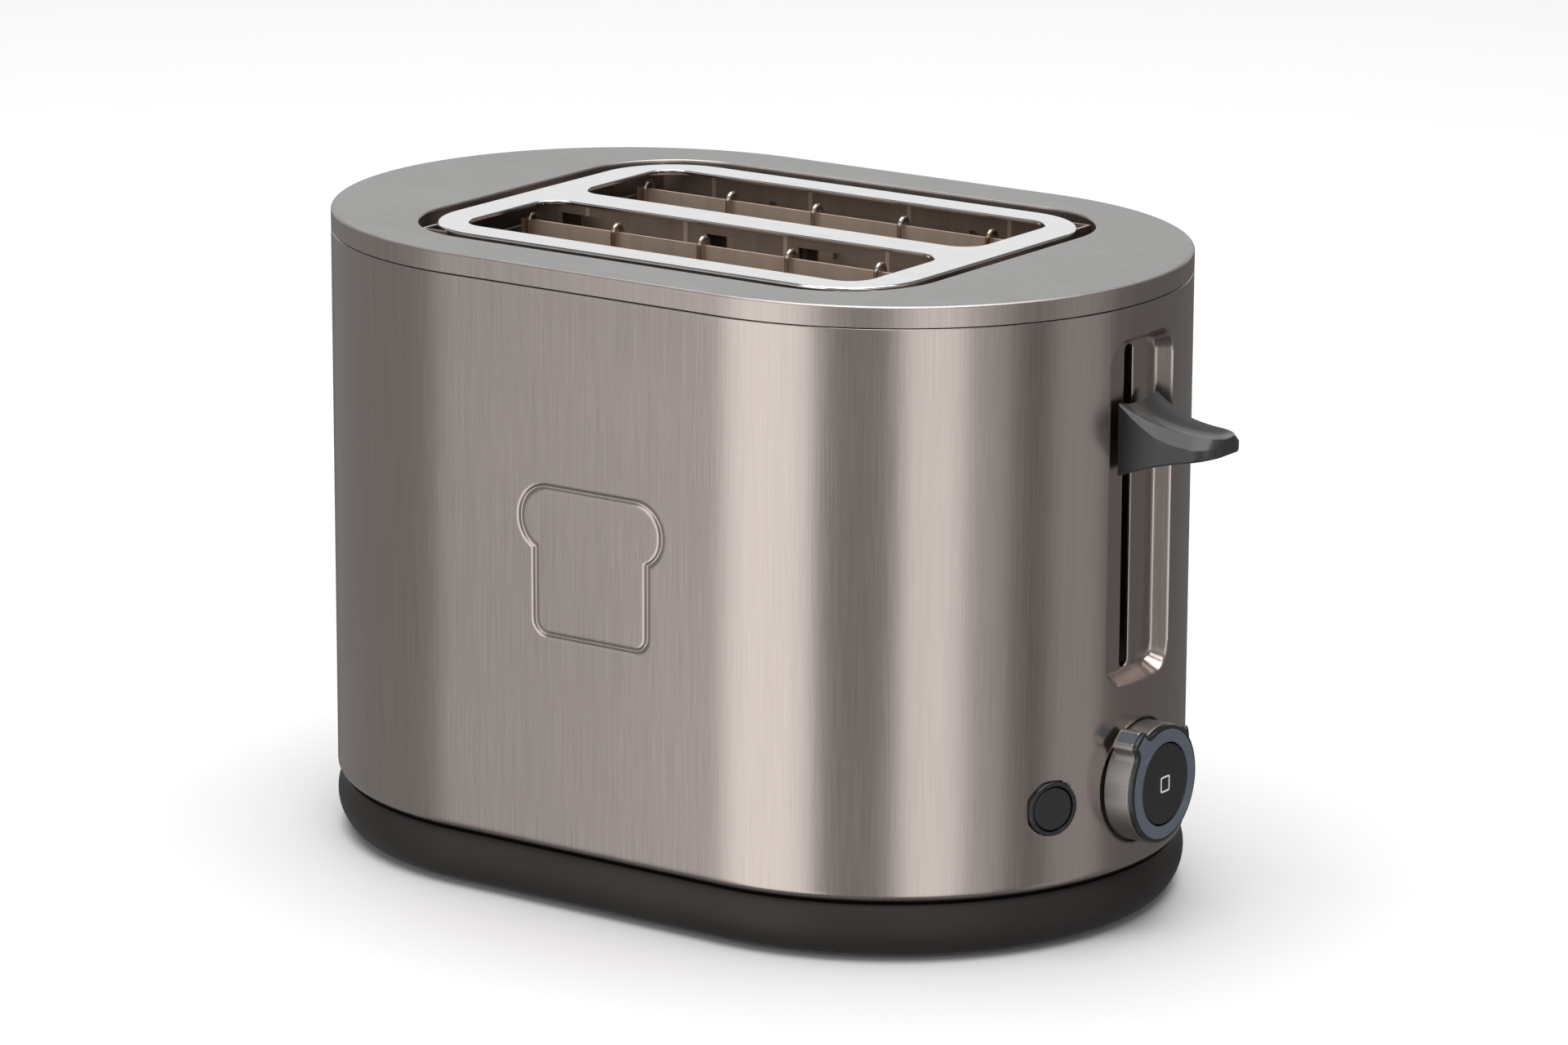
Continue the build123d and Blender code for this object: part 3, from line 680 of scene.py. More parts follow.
def make_outer_shell():
    """The sheet wall as a grid, with recess, openings, rolled foot and pressed slice."""
    low, high = span("outer_shell", 2)
    openings = holes_in_wall()
    roll = bpy.context.scene.toaster_casing.roll / MM
    rows = [(-4.5, low), (-roll - 0.4, low)]
    rows += [(-roll + roll * sin(pi / 2 * k / 6), low + roll - roll * cos(pi / 2 * k / 6)) for k in range(7)]
    heights = spaced((low + roll + 0.5, 0.9), (63.0, 2.0), (69.0, 0.3), (75.5, 0.5), (82.0, 4.0),
                     (160.0, 0.5), (166.0, 0.3), (172.5, 1.6), (high - 0.7, 1.0))
    rows += [(0.0, z) for z in heights]
    rows += [(-0.02, high - 0.4), (-0.12, high - 0.13), (-0.35, high)]
    half = spaced((2.0, 0.2), (2.6, 0.62), (12.4, 0.27), (18.8, 0.62), (22.0, 0.9), (44.0, 4.4),
                  (QUARTER, 3.9), (QUARTER + 2 * HALF_STRAIGHT, 4.4),
                  (2 * QUARTER + 2 * HALF_STRAIGHT, 1.0))
    cord_s = openings[-1][0]
    back = [s for s in half if abs(s - cord_s) > 12] + spaced((cord_s - 11, 0.9), (cord_s + 11, 1.0))
    columns = [-s for s in reversed(half[:-1])] + [-1.0, 0.0, 1.0] + sorted(back)

    bm = bmesh.new()
    unrolled = bm.loops.layers.uv.new("unrolled")
    grid = []
    for off, z in rows:
        ring = []
        for s in columns:
            x, y = wall_point(s, off)
            if abs(s) < 26 and 66 < z < high - 3:
                x = soft_min(x, recess_x(y, z), 0.4)
            ring.append(bm.verts.new((x, y, z)))
        grid.append(ring)

    def surface(s, z):
        x, y = wall_point(s, 0.0)
        return (soft_min(x, recess_x(y, z), 0.4) if abs(s) < 26 and z > 66 else x), y, z

    moved = {}
    for r in range(len(rows) - 1):
        for c in range(-1, len(columns) - 1):
            cell = [(r, c), (r, c + 1), (r + 1, c + 1), (r + 1, c)]
            s = (columns[c] + columns[c + 1]) / 2 if c >= 0 else columns[-1]
            z = (rows[r][1] + rows[r + 1][1]) / 2
            inside = False
            for hole_s, hole_z, radius, half_length in openings:
                if abs(s - hole_s) > radius + 1 or abs(z - hole_z) > half_length + radius + 1:
                    continue
                v = z - hole_z
                v -= max(-half_length, min(half_length, v))
                if hypot(s - hole_s, v) < radius:
                    inside = True
                    for row, column in cell:
                        moved[(row, column)] = (hole_s, hole_z, radius, half_length)
            if not inside:
                face = bm.faces.new([grid[row][column] for row, column in cell])
                for loop, (row, column) in zip(face.loops, cell):
                    along = -columns[-1] if column < 0 else columns[column]
                    loop[unrolled].uv = (along * MM, rows[row][1] * MM)
    for (row, column), (hole_s, hole_z, radius, half_length) in moved.items():
        vertex = grid[row][column]
        if not vertex.link_faces:
            continue
        s, z = columns[column] - hole_s, rows[row][1] - hole_z
        stay = max(-half_length, min(half_length, z))
        reach = hypot(s, z - stay) or 1.0
        vertex.co = surface(hole_s + s / reach * radius, hole_z + stay + (z - stay) / reach * radius)
    bmesh.ops.delete(bm, geom=[v for v in bm.verts if not v.link_faces], context="VERTS")

    centre_x, centre_z = 4.0, 101.0
    for cut in range(4):
        reach = 4.6 / 2 ** cut + 1.0
        near = [f for f in bm.faces if f.calc_center_median().y < 0.05 - END_R
                and abs(slice_distance(f.calc_center_median().x - centre_x,
                                       f.calc_center_median().z - centre_z) - 0.3) < reach]
        bm.edges.index_update()
        edges = sorted({edge for face in near for edge in face.edges}, key=lambda edge: edge.index)
        bmesh.ops.subdivide_edges(bm, edges=edges, cuts=1, use_grid_fill=True)
    for vertex in bm.verts:
        if vertex.co.y < 0.05 - END_R:
            away = abs(slice_distance(vertex.co.x - centre_x, vertex.co.z - centre_z) - 0.3)
            if away < 1.3:
                vertex.co.y += 0.55 * exp(-(away / 0.62) ** 2)
    thing = piece("casing_wall", bm, "brushed_titanium", "outer_shell", angle=50, closed=False)
    wall = thing.modifiers.new("sheet", "SOLIDIFY")
    wall.thickness = bpy.context.scene.toaster_casing.sheet
    wall.offset = -1.0
    wall.use_even_offset = True


def make_lid():
    """The lid: a soft-edged roof with a turned-down rim round its opening."""
    low, high = span("top_cover", 2)
    skirt = span("outer_shell", 2)[1] + 0.2
    edge = bpy.context.scene.toaster_casing.lid_edge / MM
    bm = bmesh.new()
    rim = line((-2.9, high - 2.0), (-1.3, skirt + 1.0), (-1.2, skirt), (0.0, skirt, 0.15), (0.0, high, edge),
               (-3.0, high), steps=5)
    opening = line((1.6, high - 2.0), (1.6, low), (0.0, low), (0.0, high, 0.6), (2.0, high), steps=5)
    add_solid(bm, upright, stadium(), rim, [(rounded(*LID_OPENING, 16), opening)])
    piece("lid", bm, "satin_grey_lid", "top_cover")


def make_slot_frame():
    """The polished frame round the two bread slots."""
    low, high = span("slot_frame", 2)
    (x0, x1), (y0, y1) = span("slot_frame", 0), span("slot_frame", 1)
    bm = bmesh.new()
    sheet = high - 1.0
    slot_line = line((0.9, sheet), (0.0, sheet), (0.0, high, 0.4), (1.2, high), steps=5)
    slots = [(rounded(*SLOT_OPENING, 10, (0.0, side * SLOT_Y)), slot_line) for side in (-1, 1)]
    rim = line((-1.6, sheet), (-1.0, sheet), (-1.0, low), (0.0, low), (0.0, high, 0.7), (-2.0, high),
               steps=5)
    add_solid(bm, upright, rounded((x1 - x0) / 2, (y1 - y0) / 2, FRAME_CORNER, 16), rim, slots)
    piece("slot_trim", bm, "polished_chrome", "slot_frame")


def make_base():
    smoothed("base", "dark_base_plastic", 30)
    smoothed("tray_front", "dark_base_plastic", 30)
    kept("tray_metal", "crumb_tray")


def make_feet():
    """Four rubber feet with a sunk middle."""
    (x0, x1), (y0, y1) = span("rubber_feet", 0), span("rubber_feet", 1)
    top = span("rubber_feet", 2)[1]
    bm = bmesh.new()
    add_solid(bm, upright, circle(9.0, 10),
              line((-6.5, 0.7), (-6.0, 0.0), (0.0, 0.0, 0.4), (0.28, top), (-1.5, top)))
    bmesh.ops.recalc_face_normals(bm, faces=bm.faces)
    smooth_mesh(bm, 35)
    pattern = Pattern("four_corners", Length=("Float", 0.1), Width=("Float", 0.1))
    corners = pattern.node("GeometryNodeMeshGrid", {}, {"Size X": pattern.input("Length"),
                                                        "Size Y": pattern.input("Width"),
                                                        "Vertices X": 2, "Vertices Y": 2})
    pattern.close(pattern.copies(pattern.input("Geometry"), corners))
    radius = 9.28
    thing = pattern.make("feet", to_mesh("foot", bm), finish("foot_rubber"),
                         Length=(x1 - x0 - 2 * radius) * MM, Width=(y1 - y0 - 2 * radius) * MM)
    wear(thing, "foot_rubber", "rubber_feet")


# ---- works -----------------------------------------------------------------
GUARDS = {"front_outer": (-1, -1), "front_inner": (-1, 1), "rear_inner": (1, -1), "rear_outer": (1, 1)}


def make_chassis():
    kept("reflector_steel", "side_panel_front", "side_panel_rear", "centre_panel_front", "centre_panel_rear",
         "guard_rails")
    kept("chassis_steel", "end_plate_left", "end_plate_right", "upper_rod_bracket", "lower_rod_bracket",
         "bread_lifter_front", "bread_lifter_rear", "carriage", "armature", "electromagnet_core")
    smoothed("guide_rods", "bright_wire")
    smoothed("carriage_bushes", "white_nylon")


def make_heaters():
    """Ribbon laid in rows on each board, slightly bowed between its notches."""
    pattern = Pattern("ribbon_rows", Rows=("Int", 12), Pitch=("Float", 0.01))
    step = pattern.node("ShaderNodeCombineXYZ", {}, {"Z": pattern.input("Pitch")})
    pattern.close(pattern.row(pattern.input("Geometry"), pattern.input("Rows"), (0.0, 0.0, 0.0), step))
    for key in GUARDS:
        kept("mica_board", "heater_board_" + key)
        node = "heating_ribbon_" + key
        (x0, x1), (y0, y1) = span(node, 0), span(node, 1)
        z0 = span(node, 2)[0]
        bm = bmesh.new()
        add_solid(bm, lambda u, v, h: (u, y0 + (y1 - y0) * h, z0 + v),
                  lambda grow: [(x0 + (x1 - x0) * k / 22, 0.25 * sin(k * pi / 2) + 0.25) for k in range(23)]
                  + [(x1 - (x1 - x0) * k / 22, 1.35 + 0.25 * sin((22 - k) * pi / 2)) for k in range(23)],
                  [(0.0, 0.0), (0.0, 1.0)])
        bmesh.ops.recalc_face_normals(bm, faces=bm.faces)
        thing = pattern.make("ribbon_" + key, to_mesh(node, bm), finish("ribbon_wire"),
                             Rows=12, Pitch=10.0 * MM)
        wear(thing, "ribbon_wire", node)


def make_guards():
    """Wire cages: hooks bent over their rail, tied by three long wires."""
    works = bpy.context.scene.toaster_works
    pattern = Pattern("wire_cage", Hooks=("Int", 5), Pitch=("Float", 0.03), Wire_radius=("Float", 0.0008),
                      Tie_start=("Vector", None), Tie_end=("Vector", None), Tie_pitch=("Float", 0.05))
    wire = pattern.input("Wire radius")
    hook = pattern.rod(pattern.node("GeometryNodeMeshToCurve", {}, {"Mesh": pattern.input("Geometry")}), wire)
    hooks = pattern.row(hook, pattern.input("Hooks"), (0.0, 0.0, 0.0),
                        pattern.node("ShaderNodeCombineXYZ", {}, {"X": pattern.input("Pitch")}))
    tie = pattern.rod(pattern.node("GeometryNodeCurvePrimitiveLine", {"mode": "POINTS"}, {
        "Start": pattern.input("Tie start"), "End": pattern.input("Tie end")}), wire)
    ties = pattern.row(tie, 3, (0.0, 0.0, 0.0),
                       pattern.node("ShaderNodeCombineXYZ", {}, {"Z": pattern.input("Tie pitch")}))
    pattern.close(pattern.join(hooks, ties))
    rail_top = span("guard_rails", 2)[1]
    radius = works.wire / MM
    for key, (slot_side, gap_side) in GUARDS.items():
        node = "bread_guard_" + key
        (x0, x1), z0 = span(node, 0), span(node, 2)[0]
        inward = -gap_side
        y = slot_side * SLOT_Y + gap_side * RAIL_GAP
        reach = 2.0
        path = [(y + inward * reach, z0 + 0.1), (y + inward * reach, 90.0), (y + inward * reach, 135.0)]
        bend = [pi * k / 12 for k in range(13)]
        path += [(y + inward * reach * cos(a), rail_top + reach * sin(a)) for a in bend]
        path.append((y - inward * reach, rail_top - 4.0))
        mesh = bpy.data.meshes.new(node + "_path")
        links = [(k, k + 1) for k in range(len(path) - 1)]
        mesh.from_pydata([place(FIRST_HOOK_X, py, pz) for py, pz in path], links, [])
        tie_y = y + inward * (reach - 1.3)
        thing = pattern.make("guard_" + key, mesh, finish("bright_wire"), Hooks=5, Pitch=30.5 * MM,
                             Wire_radius=radius * MM, Tie_start=place(x0, tie_y, 50.0),
                             Tie_end=place(x1, tie_y, 50.0), Tie_pitch=50.0 * MM)
        for polygon in thing.data.polygons:
            polygon.use_smooth = True
        wear(thing, "bright_wire", node)


def make_spring():
    """The carriage's return spring, one wire wound in even turns."""
    works = bpy.context.scene.toaster_works
    (x0, x1), (y0, y1), (z0, z1) = (span("return_spring", axis) for axis in range(3))
    pattern = Pattern("coil", Turns=("Float", 20.0), Coil_radius=("Float", 0.003), Length=("Float", 0.05),
                      Wire_radius=("Float", 0.0004), Foot=("Vector", None))
    coil = pattern.node("GeometryNodeCurveSpiral", {}, {
        "Resolution": 20, "Rotations": pattern.input("Turns"), "Start Radius": pattern.input("Coil radius"),
        "End Radius": pattern.input("Coil radius"), "Height": pattern.input("Length")})
    bar = pattern.rod(coil, pattern.input("Wire radius"), 6)
    pattern.close(pattern.node("GeometryNodeTransform", {},
                               {"Geometry": bar, "Translation": pattern.input("Foot")}))
    blank = bpy.data.meshes.new("coil_blank")
    thing = pattern.make("spring", blank, finish("bright_wire"), Turns=(z1 - z0) / 2.5,
                         Coil_radius=((x1 - x0) / 2 - 0.4) * MM, Length=(z1 - z0 - 0.8) * MM,
                         Wire_radius=works.spring_wire, Foot=place((x0 + x1) / 2, (y0 + y1) / 2, z0 + 0.4))
    for polygon in thing.data.polygons:
        polygon.use_smooth = True
    thing.data.materials.clear()
    thing.data.materials.append(finish("bright_wire"))
    x, y = (x0 + x1) / 2, (y0 + y1) / 2
    place(x, y, z0 + 0.8)
    place(x, y, z1 - 0.8)
    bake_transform(thing)
    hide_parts("return_spring")


def cross(reach, half):
    """A plus-shaped outline, one arm after another."""
    arm, points = [(reach, -half), (reach, half), (half, half)], []
    for _ in range(4):
        points += arm
        arm = [(-y, x) for x, y in arm]
    return lambda grow: points


def make_screws():
    """Cross-head screws at the chassis feet, and two at the rod bracket."""
    pattern = Pattern("screw_grid", Length=("Float", 0.1), Width=("Float", 0.1), Columns=("Int", 2),
                      Middle=("Vector", None))
    grid = pattern.node("GeometryNodeMeshGrid", {}, {"Size X": pattern.input("Length"),
                                                     "Size Y": pattern.input("Width"),
                                                     "Vertices X": pattern.input("Columns"), "Vertices Y": 2})
    moved = pattern.node("GeometryNodeTransform", {},
                         {"Geometry": grid, "Translation": pattern.input("Middle")})
    pattern.close(pattern.copies(pattern.input("Geometry"), moved))
    for node, head, shank, columns in (("chassis_screws", 3.2, 1.6, 2), ("bracket_screws", 3.0, 0.0, 1)):
        (x0, x1), (y0, y1), (z0, z1) = (span(node, axis) for axis in range(3))
        seat = z1 - 2.0
        bm = bmesh.new()
        add_solid(bm, upright, circle(head, 8),
                  line((-1.0, seat), (0.0, seat), (0.0, seat + 1.1), (-0.2, seat + 1.1)))
        add_solid(bm, upright, circle(head, 8),
                  line((-0.4, seat + 1.0), (0.0, seat + 1.0), (0.0, z1, 0.7), (-0.8, z1)),
                  [(cross(1.9, 0.35), [(0.0, seat + 1.0), (0.0, z1)])])
        if shank:
            add_solid(bm, upright, circle(shank, 6), line((-0.6, z0), (0.0, z0 + 1.2), (0.0, seat + 0.1)))
        bmesh.ops.recalc_face_normals(bm, faces=bm.faces)
        smooth_mesh(bm, 35)
        mesh = to_mesh(node, bm)
        mesh.transform(Matrix.Translation((-MIDDLE_X, 0.0, 0.0)))
        length = (x1 - x0 - 2 * head) * MM if columns == 2 else 0.0
        thing = pattern.make("set_of_" + node, mesh, finish("bright_wire"), Columns=columns, Length=length,
                             Width=(y1 - y0 - 2 * head) * MM, Middle=place((x0 + x1) / 2, (y0 + y1) / 2, 0.0))
        wear(thing, "bright_wire", node)


def make_electrics():
    kept("board_green", "control_board")
    for node in ("board_components", "button_switches", "browning_control"):
        smoothed(node, "component_black")
    smoothed("control_carrier", "component_black")
    smoothed("electromagnet_coil", "copper_wire")
    kept("brass_leaf", "contact_leaves")
    kept("white_nylon", "contact_block")
    smoothed("terminal_block", "white_nylon")
    smoothed("cord_grommet", "gloss_black")


# ---- controls --------------------------------------------------------------
def make_lever():
    """The paddle: deep at the root, scooped between raised rims, round at the tip."""
    (x0, x1), (z0, z1) = span("lever", 0), span("lever", 2)
    half_width = span("lever", 1)[1]
    tip_low, tip_high, corner = 140.2, 145.1, 7.5
    bm = bmesh.new()
    stations = spaced((x0, 1.2), (x1 - corner, 0.6), (x1 - 1.2, 0.2), (x1 - 0.25, 0.08), (x1, 1.0))
    rings = []
    for x in stations:
        t = (x - x0) / (x1 - x0)
        top = tip_high + (z1 - tip_high) * (1 - t) ** 2.6
        bottom = z0 + (tip_low - z0 - 1.4) * (1 - (1 - t) ** 1.75) + 1.4 * t ** 6
        past = max(0.0, x - (x1 - corner))
        width = half_width - corner + sqrt(max(0.0, corner ** 2 - past ** 2))
        nose = max(0.0, (x - (x1 - 0.7)) / 0.7)
        curl = 0.6 * (1 - sqrt(max(0.0, 1 - nose * nose)))
        top, bottom = top - curl, bottom + curl
        opened = min(1.0, 0.12 + t * 2.2)
        cut = min(2.6 * opened, width * 0.4)
        drop = min(2.9 * opened, (top - bottom) * 0.45)
        scoop = (1.3 - 0.3 * t) * min(1.0, (x1 - x) / 5.0)
        foot = min(0.9, (top - bottom) * 0.18)
        side = [(0.0, bottom), (0.45 * width, bottom), (width - foot * 1.2, bottom)]
        side += [(width - foot + foot * sin(a), bottom + foot - foot * cos(a)) for a in (0.3, 0.8, 1.3)]
        side += [(width, bottom + foot * 1.2), (width, (top - drop + bottom + foot) / 2), (width, top - drop),
                 (width - cut, top)]
        inner = width - cut
        for share in (0.93, 0.82, 0.66, 0.46, 0.24, 0.0):
            side.append((inner * share, top - scoop * (1 - share ** 2.4) ** 1.2))
        section = side + [(-y, z) for y, z in reversed(side[1:-1])]
        rings.append([bm.verts.new((x, y, z)) for y, z in section])
    for first, second in zip(rings, rings[1:]):
        for i in range(len(first)):
            bm.faces.new((first[i - 1], first[i], second[i], second[i - 1]))
    bm.faces.new(rings[0])
    bm.faces.new(rings[-1])
    piece("lever_paddle", bm, "charcoal_plastic", "lever", angle=24)


def make_knob():
    """Browning knob: barrel with a pointer, a gloss face and a slate ring set in it."""
    back, front = span("knob_face", 0)
    start = span("knob_barrel", 0)[0]
    radius, knob_z = KNOB_R, sum(span("stop_button", 2)) / 2
    stop_radius = (span("stop_button", 1)[1] - span("stop_button", 1)[0]) / 2
    turn = radians(bpy.context.scene.toaster_works.pointer)
    at = facing(0, knob_z)
    outline = pointer_outline(radius, turn)
    hole = circle(stop_radius + 0.4, 20)
    bm = bmesh.new()
    add_solid(bm, at, circle(radius, 20), line((-1.0, 130.6), (0.0, 130.6, 0.3), (0.0, 132.6), (-0.5, 132.6)))
    add_solid(bm, at, outline, line((-0.6, 132.4), (0.0, 132.4), (0.0, back, 0.45), (-0.7, back), steps=5),
              [(hole, line((0.8, 132.4), (0.0, 132.4), (0.0, back)))])
    add_solid(bm, at, circle(3.0, 8), line((0.0, start), (0.0, 131.0)))
    piece("knob_body", bm, "titanium_plastic", "knob_barrel")
    bm = bmesh.new()
    add_solid(bm, at, outline,
              line((-1.2, back - 0.3), (-0.2, back), (-0.2, front, 0.35), (-1.2, front), steps=5),
              [(hole, line((0.0, back - 0.3), (0.0, front, 0.2), (0.6, front)))])
    piece("knob_rim", bm, "gloss_black", "knob_face")
    ring_front = span("knob_pointer_ring", 0)[1]
    bm = bmesh.new()
    add_solid(bm, at, outline, line((-1.4, front - 0.1), (-1.4, ring_front, 0.12), (-1.9, ring_front)),
              [(hole, line((0.0, front - 0.1), (0.0, ring_front, 0.12), (0.5, ring_front)))])
    tip = radius + 3.5

    def on_tip(u, v, height):
        return u, height * cos(turn) - v * sin(turn), knob_z + height * sin(turn) + v * cos(turn)

    add_solid(bm, on_tip, rounded(2.9, 1.8, 0.6, 5, (135.6, 0.0)),
              line((0.0, tip - 0.2), (0.0, tip + 0.12, 0.08), (-0.3, tip + 0.12)))
    piece("knob_ring", bm, "slate_blue", "knob_pointer_ring")


def make_stop_button():
    """The stop button, with a raised square mark."""
    back, front = span("stop_button", 0)
    knob_z = sum(span("stop_button", 2)) / 2
    radius = (span("stop_button", 1)[1] - span("stop_button", 1)[0]) / 2
    at = facing(0, knob_z)
    bm = bmesh.new()
    add_solid(bm, at, circle(radius, 20),
              line((-1.0, 136.6), (0.0, 136.6), (0.0, front, 0.6), (-2.0, front - 0.02),
                   (-6.0, front - 0.12), steps=5))
    add_solid(bm, at, circle(1.5, 6), line((0.0, back), (0.0, 136.8)))
    piece("stop_cap", bm, "button_black", "stop_button")
    bm = bmesh.new()
    add_solid(bm, at, rounded(2.3, 2.3, 0.7, 5), line((0.0, front - 0.3), (0.0, front)),
              [(rounded(1.85, 1.85, 0.4, 5), line((0.0, front - 0.3), (0.0, front)))])
    for face in bm.faces:
        face.smooth = False
    mark = bpy.data.objects.new("stop_mark", to_mesh("stop_mark", bm))
    bpy.context.scene.collection.objects.link(mark)
    mark.data.materials.append(finish("white_nylon"))
    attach(mark, "stop_button")


def make_buttons():
    """The two round buttons in their raised bezels."""
    bezels = bmesh.new()
    for name, angle in (("defrost_button", -BUTTON_DEG), ("reheat_button", BUTTON_DEG)):
        height = sum(span(name, 2)) / 2
        at = facing(angle, height, HALF_STRAIGHT)
        add_solid(bezels, at, circle(7.2, 14),
                  line((-0.2, 80.0), (0.0, 80.0), (0.0, 85.12), (0.5, 85.12, 0.1), (0.5, 86.0, 0.35),
                       (-0.3, 86.0)),
                  [(circle(6.5, 14), line((0.0, 80.0), (0.0, 86.0, 0.25), (0.45, 86.0)))])
        bm = bmesh.new()
        add_solid(bm, at, circle(6.2, 14), line((-1.0, 82.2), (0.0, 82.2), (0.0, 85.85, 0.7), (-1.6, 85.9),
                                                (-3.5, 85.8), (-5.2, 85.72), steps=5))
        add_solid(bm, at, circle(2.5, 6), line((0.0, 75.7), (0.0, 82.4)))
        piece(name.replace("button", "cap"), bm, "button_black", name)
    piece("bezels", bezels, "gloss_black", "button_bezels")


# ---- stage -----------------------------------------------------------------
def softbox(name, start, end, low, high, radiance, distance=3.2, colour=(1.0, 1.0, 1.0)):
    """An upright soft light between two bearings, measured from the front towards the lever end."""
    bearing, width = radians((start + end) / 2), 2 * distance * tan(radians(end - start) / 2)
    light = bpy.data.lights.new(name, "AREA")
    light.shape, light.size, light.size_y = "RECTANGLE", width, high - low
    light.energy = radiance * pi * width * (high - low)
    light.color = colour
    lamp = bpy.data.objects.new(name, light)
    lamp.location = (distance * sin(bearing), -distance * cos(bearing), (low + high) / 2)
    lamp.rotation_euler = (pi / 2, 0.0, bearing)
    lamp.visible_camera = False
    bpy.context.scene.collection.objects.link(lamp)


def make_camera():
    """The camera, aimed at the middle of the body."""
    stage = bpy.context.scene.toaster_stage
    bearing, tilt, roll = radians(35.09), radians(14.35), radians(0.238)
    ahead = Vector((-sin(bearing) * cos(tilt), cos(bearing) * cos(tilt), -sin(tilt)))
    right = ahead.cross(Vector((0, 0, 1))).normalized()
    up = right.cross(ahead)
    right, up = cos(roll) * right + sin(roll) * up, cos(roll) * up - sin(roll) * right
    lens = bpy.data.cameras.new("camera")
    lens.lens, lens.sensor_width, lens.clip_end = stage.lens, 36.0, 60.0
    camera = bpy.data.objects.new("camera", lens)
    camera.matrix_world = Matrix((right, up, -ahead)).transposed().to_4x4()
    camera.location = Vector((1.0257, -1.4651, 0.5567))
    bpy.context.scene.collection.objects.link(camera)
    bpy.context.scene.camera = camera


def make_stage():
    """A plain pale floor, tall soft lights, an overhead light and an even pale surround."""
    scene, stage = bpy.context.scene, bpy.context.scene.toaster_stage
    bm = bmesh.new()
    bmesh.ops.create_grid(bm, x_segments=4, y_segments=4, size=stage.floor / 2)
    mesh = bpy.data.meshes.new("floor")
    bm.to_mesh(mesh)
    bm.free()
    floor = bpy.data.objects.new("floor", mesh)
    scene.collection.objects.link(floor)
    f = Finish("pale_floor")
    cloud = f.noise(3.0)
    floor.data.materials.append(f.done(Base_Color=f.tint(cloud, (0.9, 0.9, 0.9), (0.93, 0.93, 0.93)),
                                       Roughness=0.7 + cloud * 0.1, Specular_IOR_Level=0.0))
    floor.visible_glossy = False
    floor.visible_shadow = False

    key = stage.key
    softbox("broad_light", -31.0, 6.0, -3.2, 2.6, 1.1 * key)
    softbox("narrow_light", 38.0, 62.5, -3.2, 2.6, 0.95 * key)
    softbox("narrow_edge", 62.5, 80.0, -3.2, 2.6, 0.31 * key)
    softbox("gap_fill", 6.0, 38.0, -3.2, 2.6, 0.09 * key)
    softbox("front_fill", -43.0, -31.0, -3.2, 2.6, 0.28 * key)
    softbox("left_fill", -125.0, -43.0, -3.2, 2.6, 0.1 * key)
    softbox("end_fill", 97.0, 122.0, -3.2, 2.6, 0.22 * key)
    softbox("back_light", 180.0, 250.0, 0.3, 3.0, 0.74 * key, 4.6)
    roof = bpy.data.lights.new("roof_light", "AREA")
    roof.shape, roof.size, roof.size_y = "RECTANGLE", 3.4, 3.4
    roof.energy = stage.roof * pi * roof.size * roof.size_y
    lamp = bpy.data.objects.new("roof_light", roof)
    lamp.location = (0.0, 0.0, 3.2)
    lamp.visible_camera = False
    scene.collection.objects.link(lamp)

    world = bpy.data.worlds.new("surround")
    world.use_nodes = True
    backdrop = world.node_tree.nodes["Background"]
    backdrop.inputs["Color"].default_value = (1.0, 0.99, 0.98, 1.0)
    backdrop.inputs["Strength"].default_value = stage.surround
    scene.world = world
    scene.view_settings.view_transform = "Standard"


# ---- add-on ----------------------------------------------------------------
class ToasterCasing(bpy.types.PropertyGroup):
    colour: FloatVectorProperty(name="Casing colour", description="Colour of the brushed wall",
                                subtype="COLOR", default=(0.56, 0.49, 0.455), min=0.0, max=1.0)
    lid_colour: FloatVectorProperty(name="Lid colour", description="Colour of the satin lid", subtype="COLOR",
                                    default=(0.365, 0.36, 0.355), min=0.0, max=1.0)
    roughness: FloatProperty(name="Roughness", description="Middle roughness of the brushed wall",
                             default=0.23, min=0.05, max=1.0)
    grain: FloatProperty(name="Grain", description="Spacing of the brushed grain", subtype="DISTANCE",
                         default=0.0005, min=0.0001)
    sheet: FloatProperty(name="Sheet", description="Thickness of the casing's sheet", subtype="DISTANCE",
                         default=0.0012, min=0.0003)
    roll: FloatProperty(name="Rolled foot", description="Radius that the wall rolls under at its foot",
                        subtype="DISTANCE", default=0.003, min=0.0005)
    lid_edge: FloatProperty(name="Lid edge", description="Radius of the lid's outer edge", subtype="DISTANCE",
                            default=0.001, min=0.0002)


class ToasterWorks(bpy.types.PropertyGroup):
    wire: FloatProperty(name="Guard wire", description="Radius of the bread guards' wire", subtype="DISTANCE",
                        default=0.0008, min=0.0003)
    spring_wire: FloatProperty(name="Spring wire", description="Radius of the return spring's wire",
                               subtype="DISTANCE", default=0.0004, min=0.0001)
    pointer: FloatProperty(name="Pointer", default=130.0, min=0.0, max=360.0,
                           description="Angle of the browning pointer, in degrees from the side")


class ToasterStage(bpy.types.PropertyGroup):
    lens: FloatProperty(name="Lens", description="Focal length of the camera, in millimetres",
                        default=147.4, min=20.0)
    floor: FloatProperty(name="Floor", description="Side of the square floor", subtype="DISTANCE",
                         default=16.0, min=2.0)
    key: FloatProperty(name="Soft lights", description="Strength of the tall soft lights",
                       default=1.0, min=0.0)
    roof: FloatProperty(name="Roof light", description="Strength of the overhead light", default=3.6, min=0.0)
    surround: FloatProperty(name="Surround", description="Strength of the even surround",
                            default=0.15, min=0.0)


class MakeCasing(bpy.types.Operator):
    """Make the brushed wall, the lid and the slot frame"""
    bl_idname = "toaster.casing"
    bl_label = "Casing"

    def execute(self, context):
        make_outer_shell()
        make_lid()
        make_slot_frame()
        return {"FINISHED"}


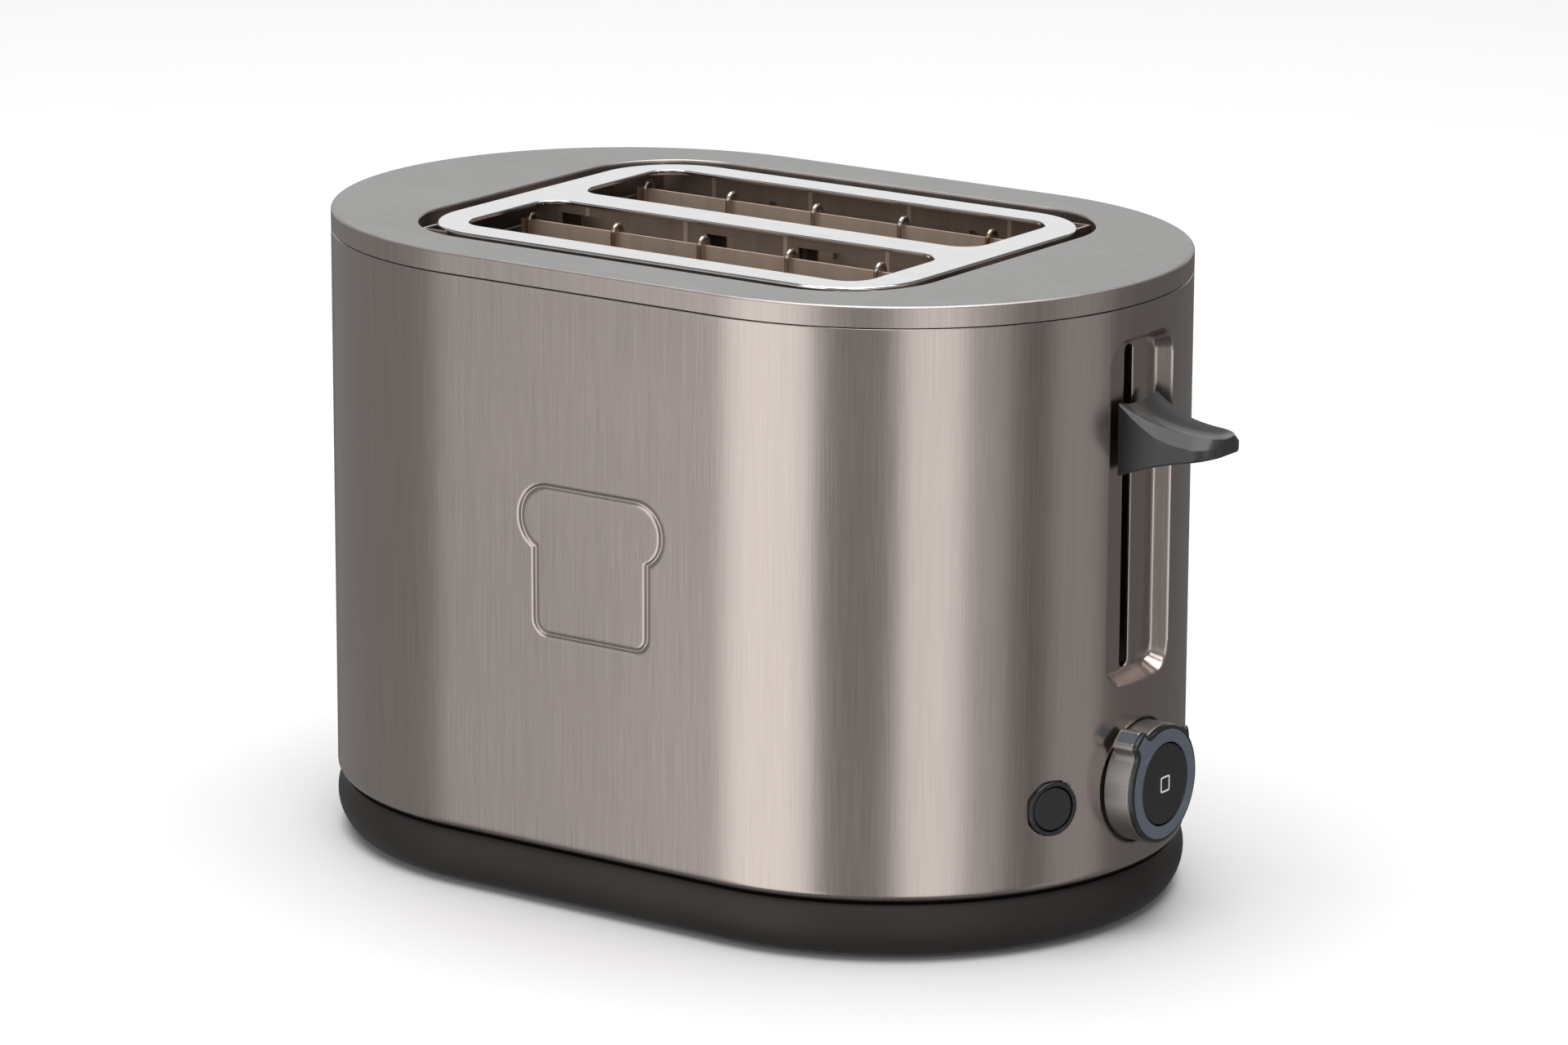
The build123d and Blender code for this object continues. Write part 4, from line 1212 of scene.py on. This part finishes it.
class MakeBase(bpy.types.Operator):
    """Make the base, its feet and the crumb tray"""
    bl_idname = "toaster.base"
    bl_label = "Base and tray"

    def execute(self, context):
        make_base()
        make_feet()
        return {"FINISHED"}


class MakeChassis(bpy.types.Operator):
    """Finish the chassis, the carriage and the heaters"""
    bl_idname = "toaster.chassis"
    bl_label = "Chassis and heaters"

    def execute(self, context):
        make_chassis()
        make_heaters()
        return {"FINISHED"}


class MakeWires(bpy.types.Operator):
    """Make the bread guards and the return spring"""
    bl_idname = "toaster.wires"
    bl_label = "Guards and spring"

    def execute(self, context):
        make_guards()
        make_spring()
        return {"FINISHED"}


class MakeFixings(bpy.types.Operator):
    """Make the screws"""
    bl_idname = "toaster.fixings"
    bl_label = "Screws"

    def execute(self, context):
        make_screws()
        return {"FINISHED"}


class MakeElectrics(bpy.types.Operator):
    """Finish the circuit board, the magnet, the contacts and the terminals"""
    bl_idname = "toaster.electrics"
    bl_label = "Electrics"

    def execute(self, context):
        make_electrics()
        return {"FINISHED"}


class MakeControls(bpy.types.Operator):
    """Make the lever, the browning knob, the stop button and the round buttons"""
    bl_idname = "toaster.controls"
    bl_label = "Controls"

    def execute(self, context):
        make_lever()
        make_knob()
        make_stop_button()
        make_buttons()
        return {"FINISHED"}


class MakeStage(bpy.types.Operator):
    """Set up the camera, the floor and the lights"""
    bl_idname = "toaster.stage"
    bl_label = "Stage"

    def execute(self, context):
        make_camera()
        make_stage()
        return {"FINISHED"}


class ToasterPanel(bpy.types.Panel):
    """Sizes, colours and makers of the toaster"""
    bl_idname = "VIEW3D_PT_toaster"
    bl_label = "Toaster"
    bl_space_type = "VIEW_3D"
    bl_region_type = "UI"
    bl_category = "Toaster"

    def draw(self, context):
        for group in (context.scene.toaster_casing, context.scene.toaster_works, context.scene.toaster_stage):
            box = self.layout.box()
            for name in group.bl_rna.properties.keys():
                if name not in {"rna_type", "name"}:
                    box.prop(group, name)
        for operator in OPERATORS:
            self.layout.operator(operator.bl_idname)


GROUPS = (ToasterCasing, ToasterWorks, ToasterStage)
OPERATORS = (MakeStage, MakeCasing, MakeBase, MakeChassis, MakeWires, MakeFixings, MakeElectrics,
             MakeControls)


def register():
    for item in (*GROUPS, *OPERATORS, ToasterPanel):
        bpy.utils.register_class(item)
    bpy.types.Scene.toaster_casing = PointerProperty(type=ToasterCasing)
    bpy.types.Scene.toaster_works = PointerProperty(type=ToasterWorks)
    bpy.types.Scene.toaster_stage = PointerProperty(type=ToasterStage)


def unregister():
    del bpy.types.Scene.toaster_casing, bpy.types.Scene.toaster_works, bpy.types.Scene.toaster_stage
    for item in reversed((*GROUPS, *OPERATORS, ToasterPanel)):
        bpy.utils.unregister_class(item)


def main():
    register()
    for operator in OPERATORS:
        getattr(bpy.ops.toaster, operator.bl_idname.split(".")[1])()


if __name__ == "__main__":
    main()
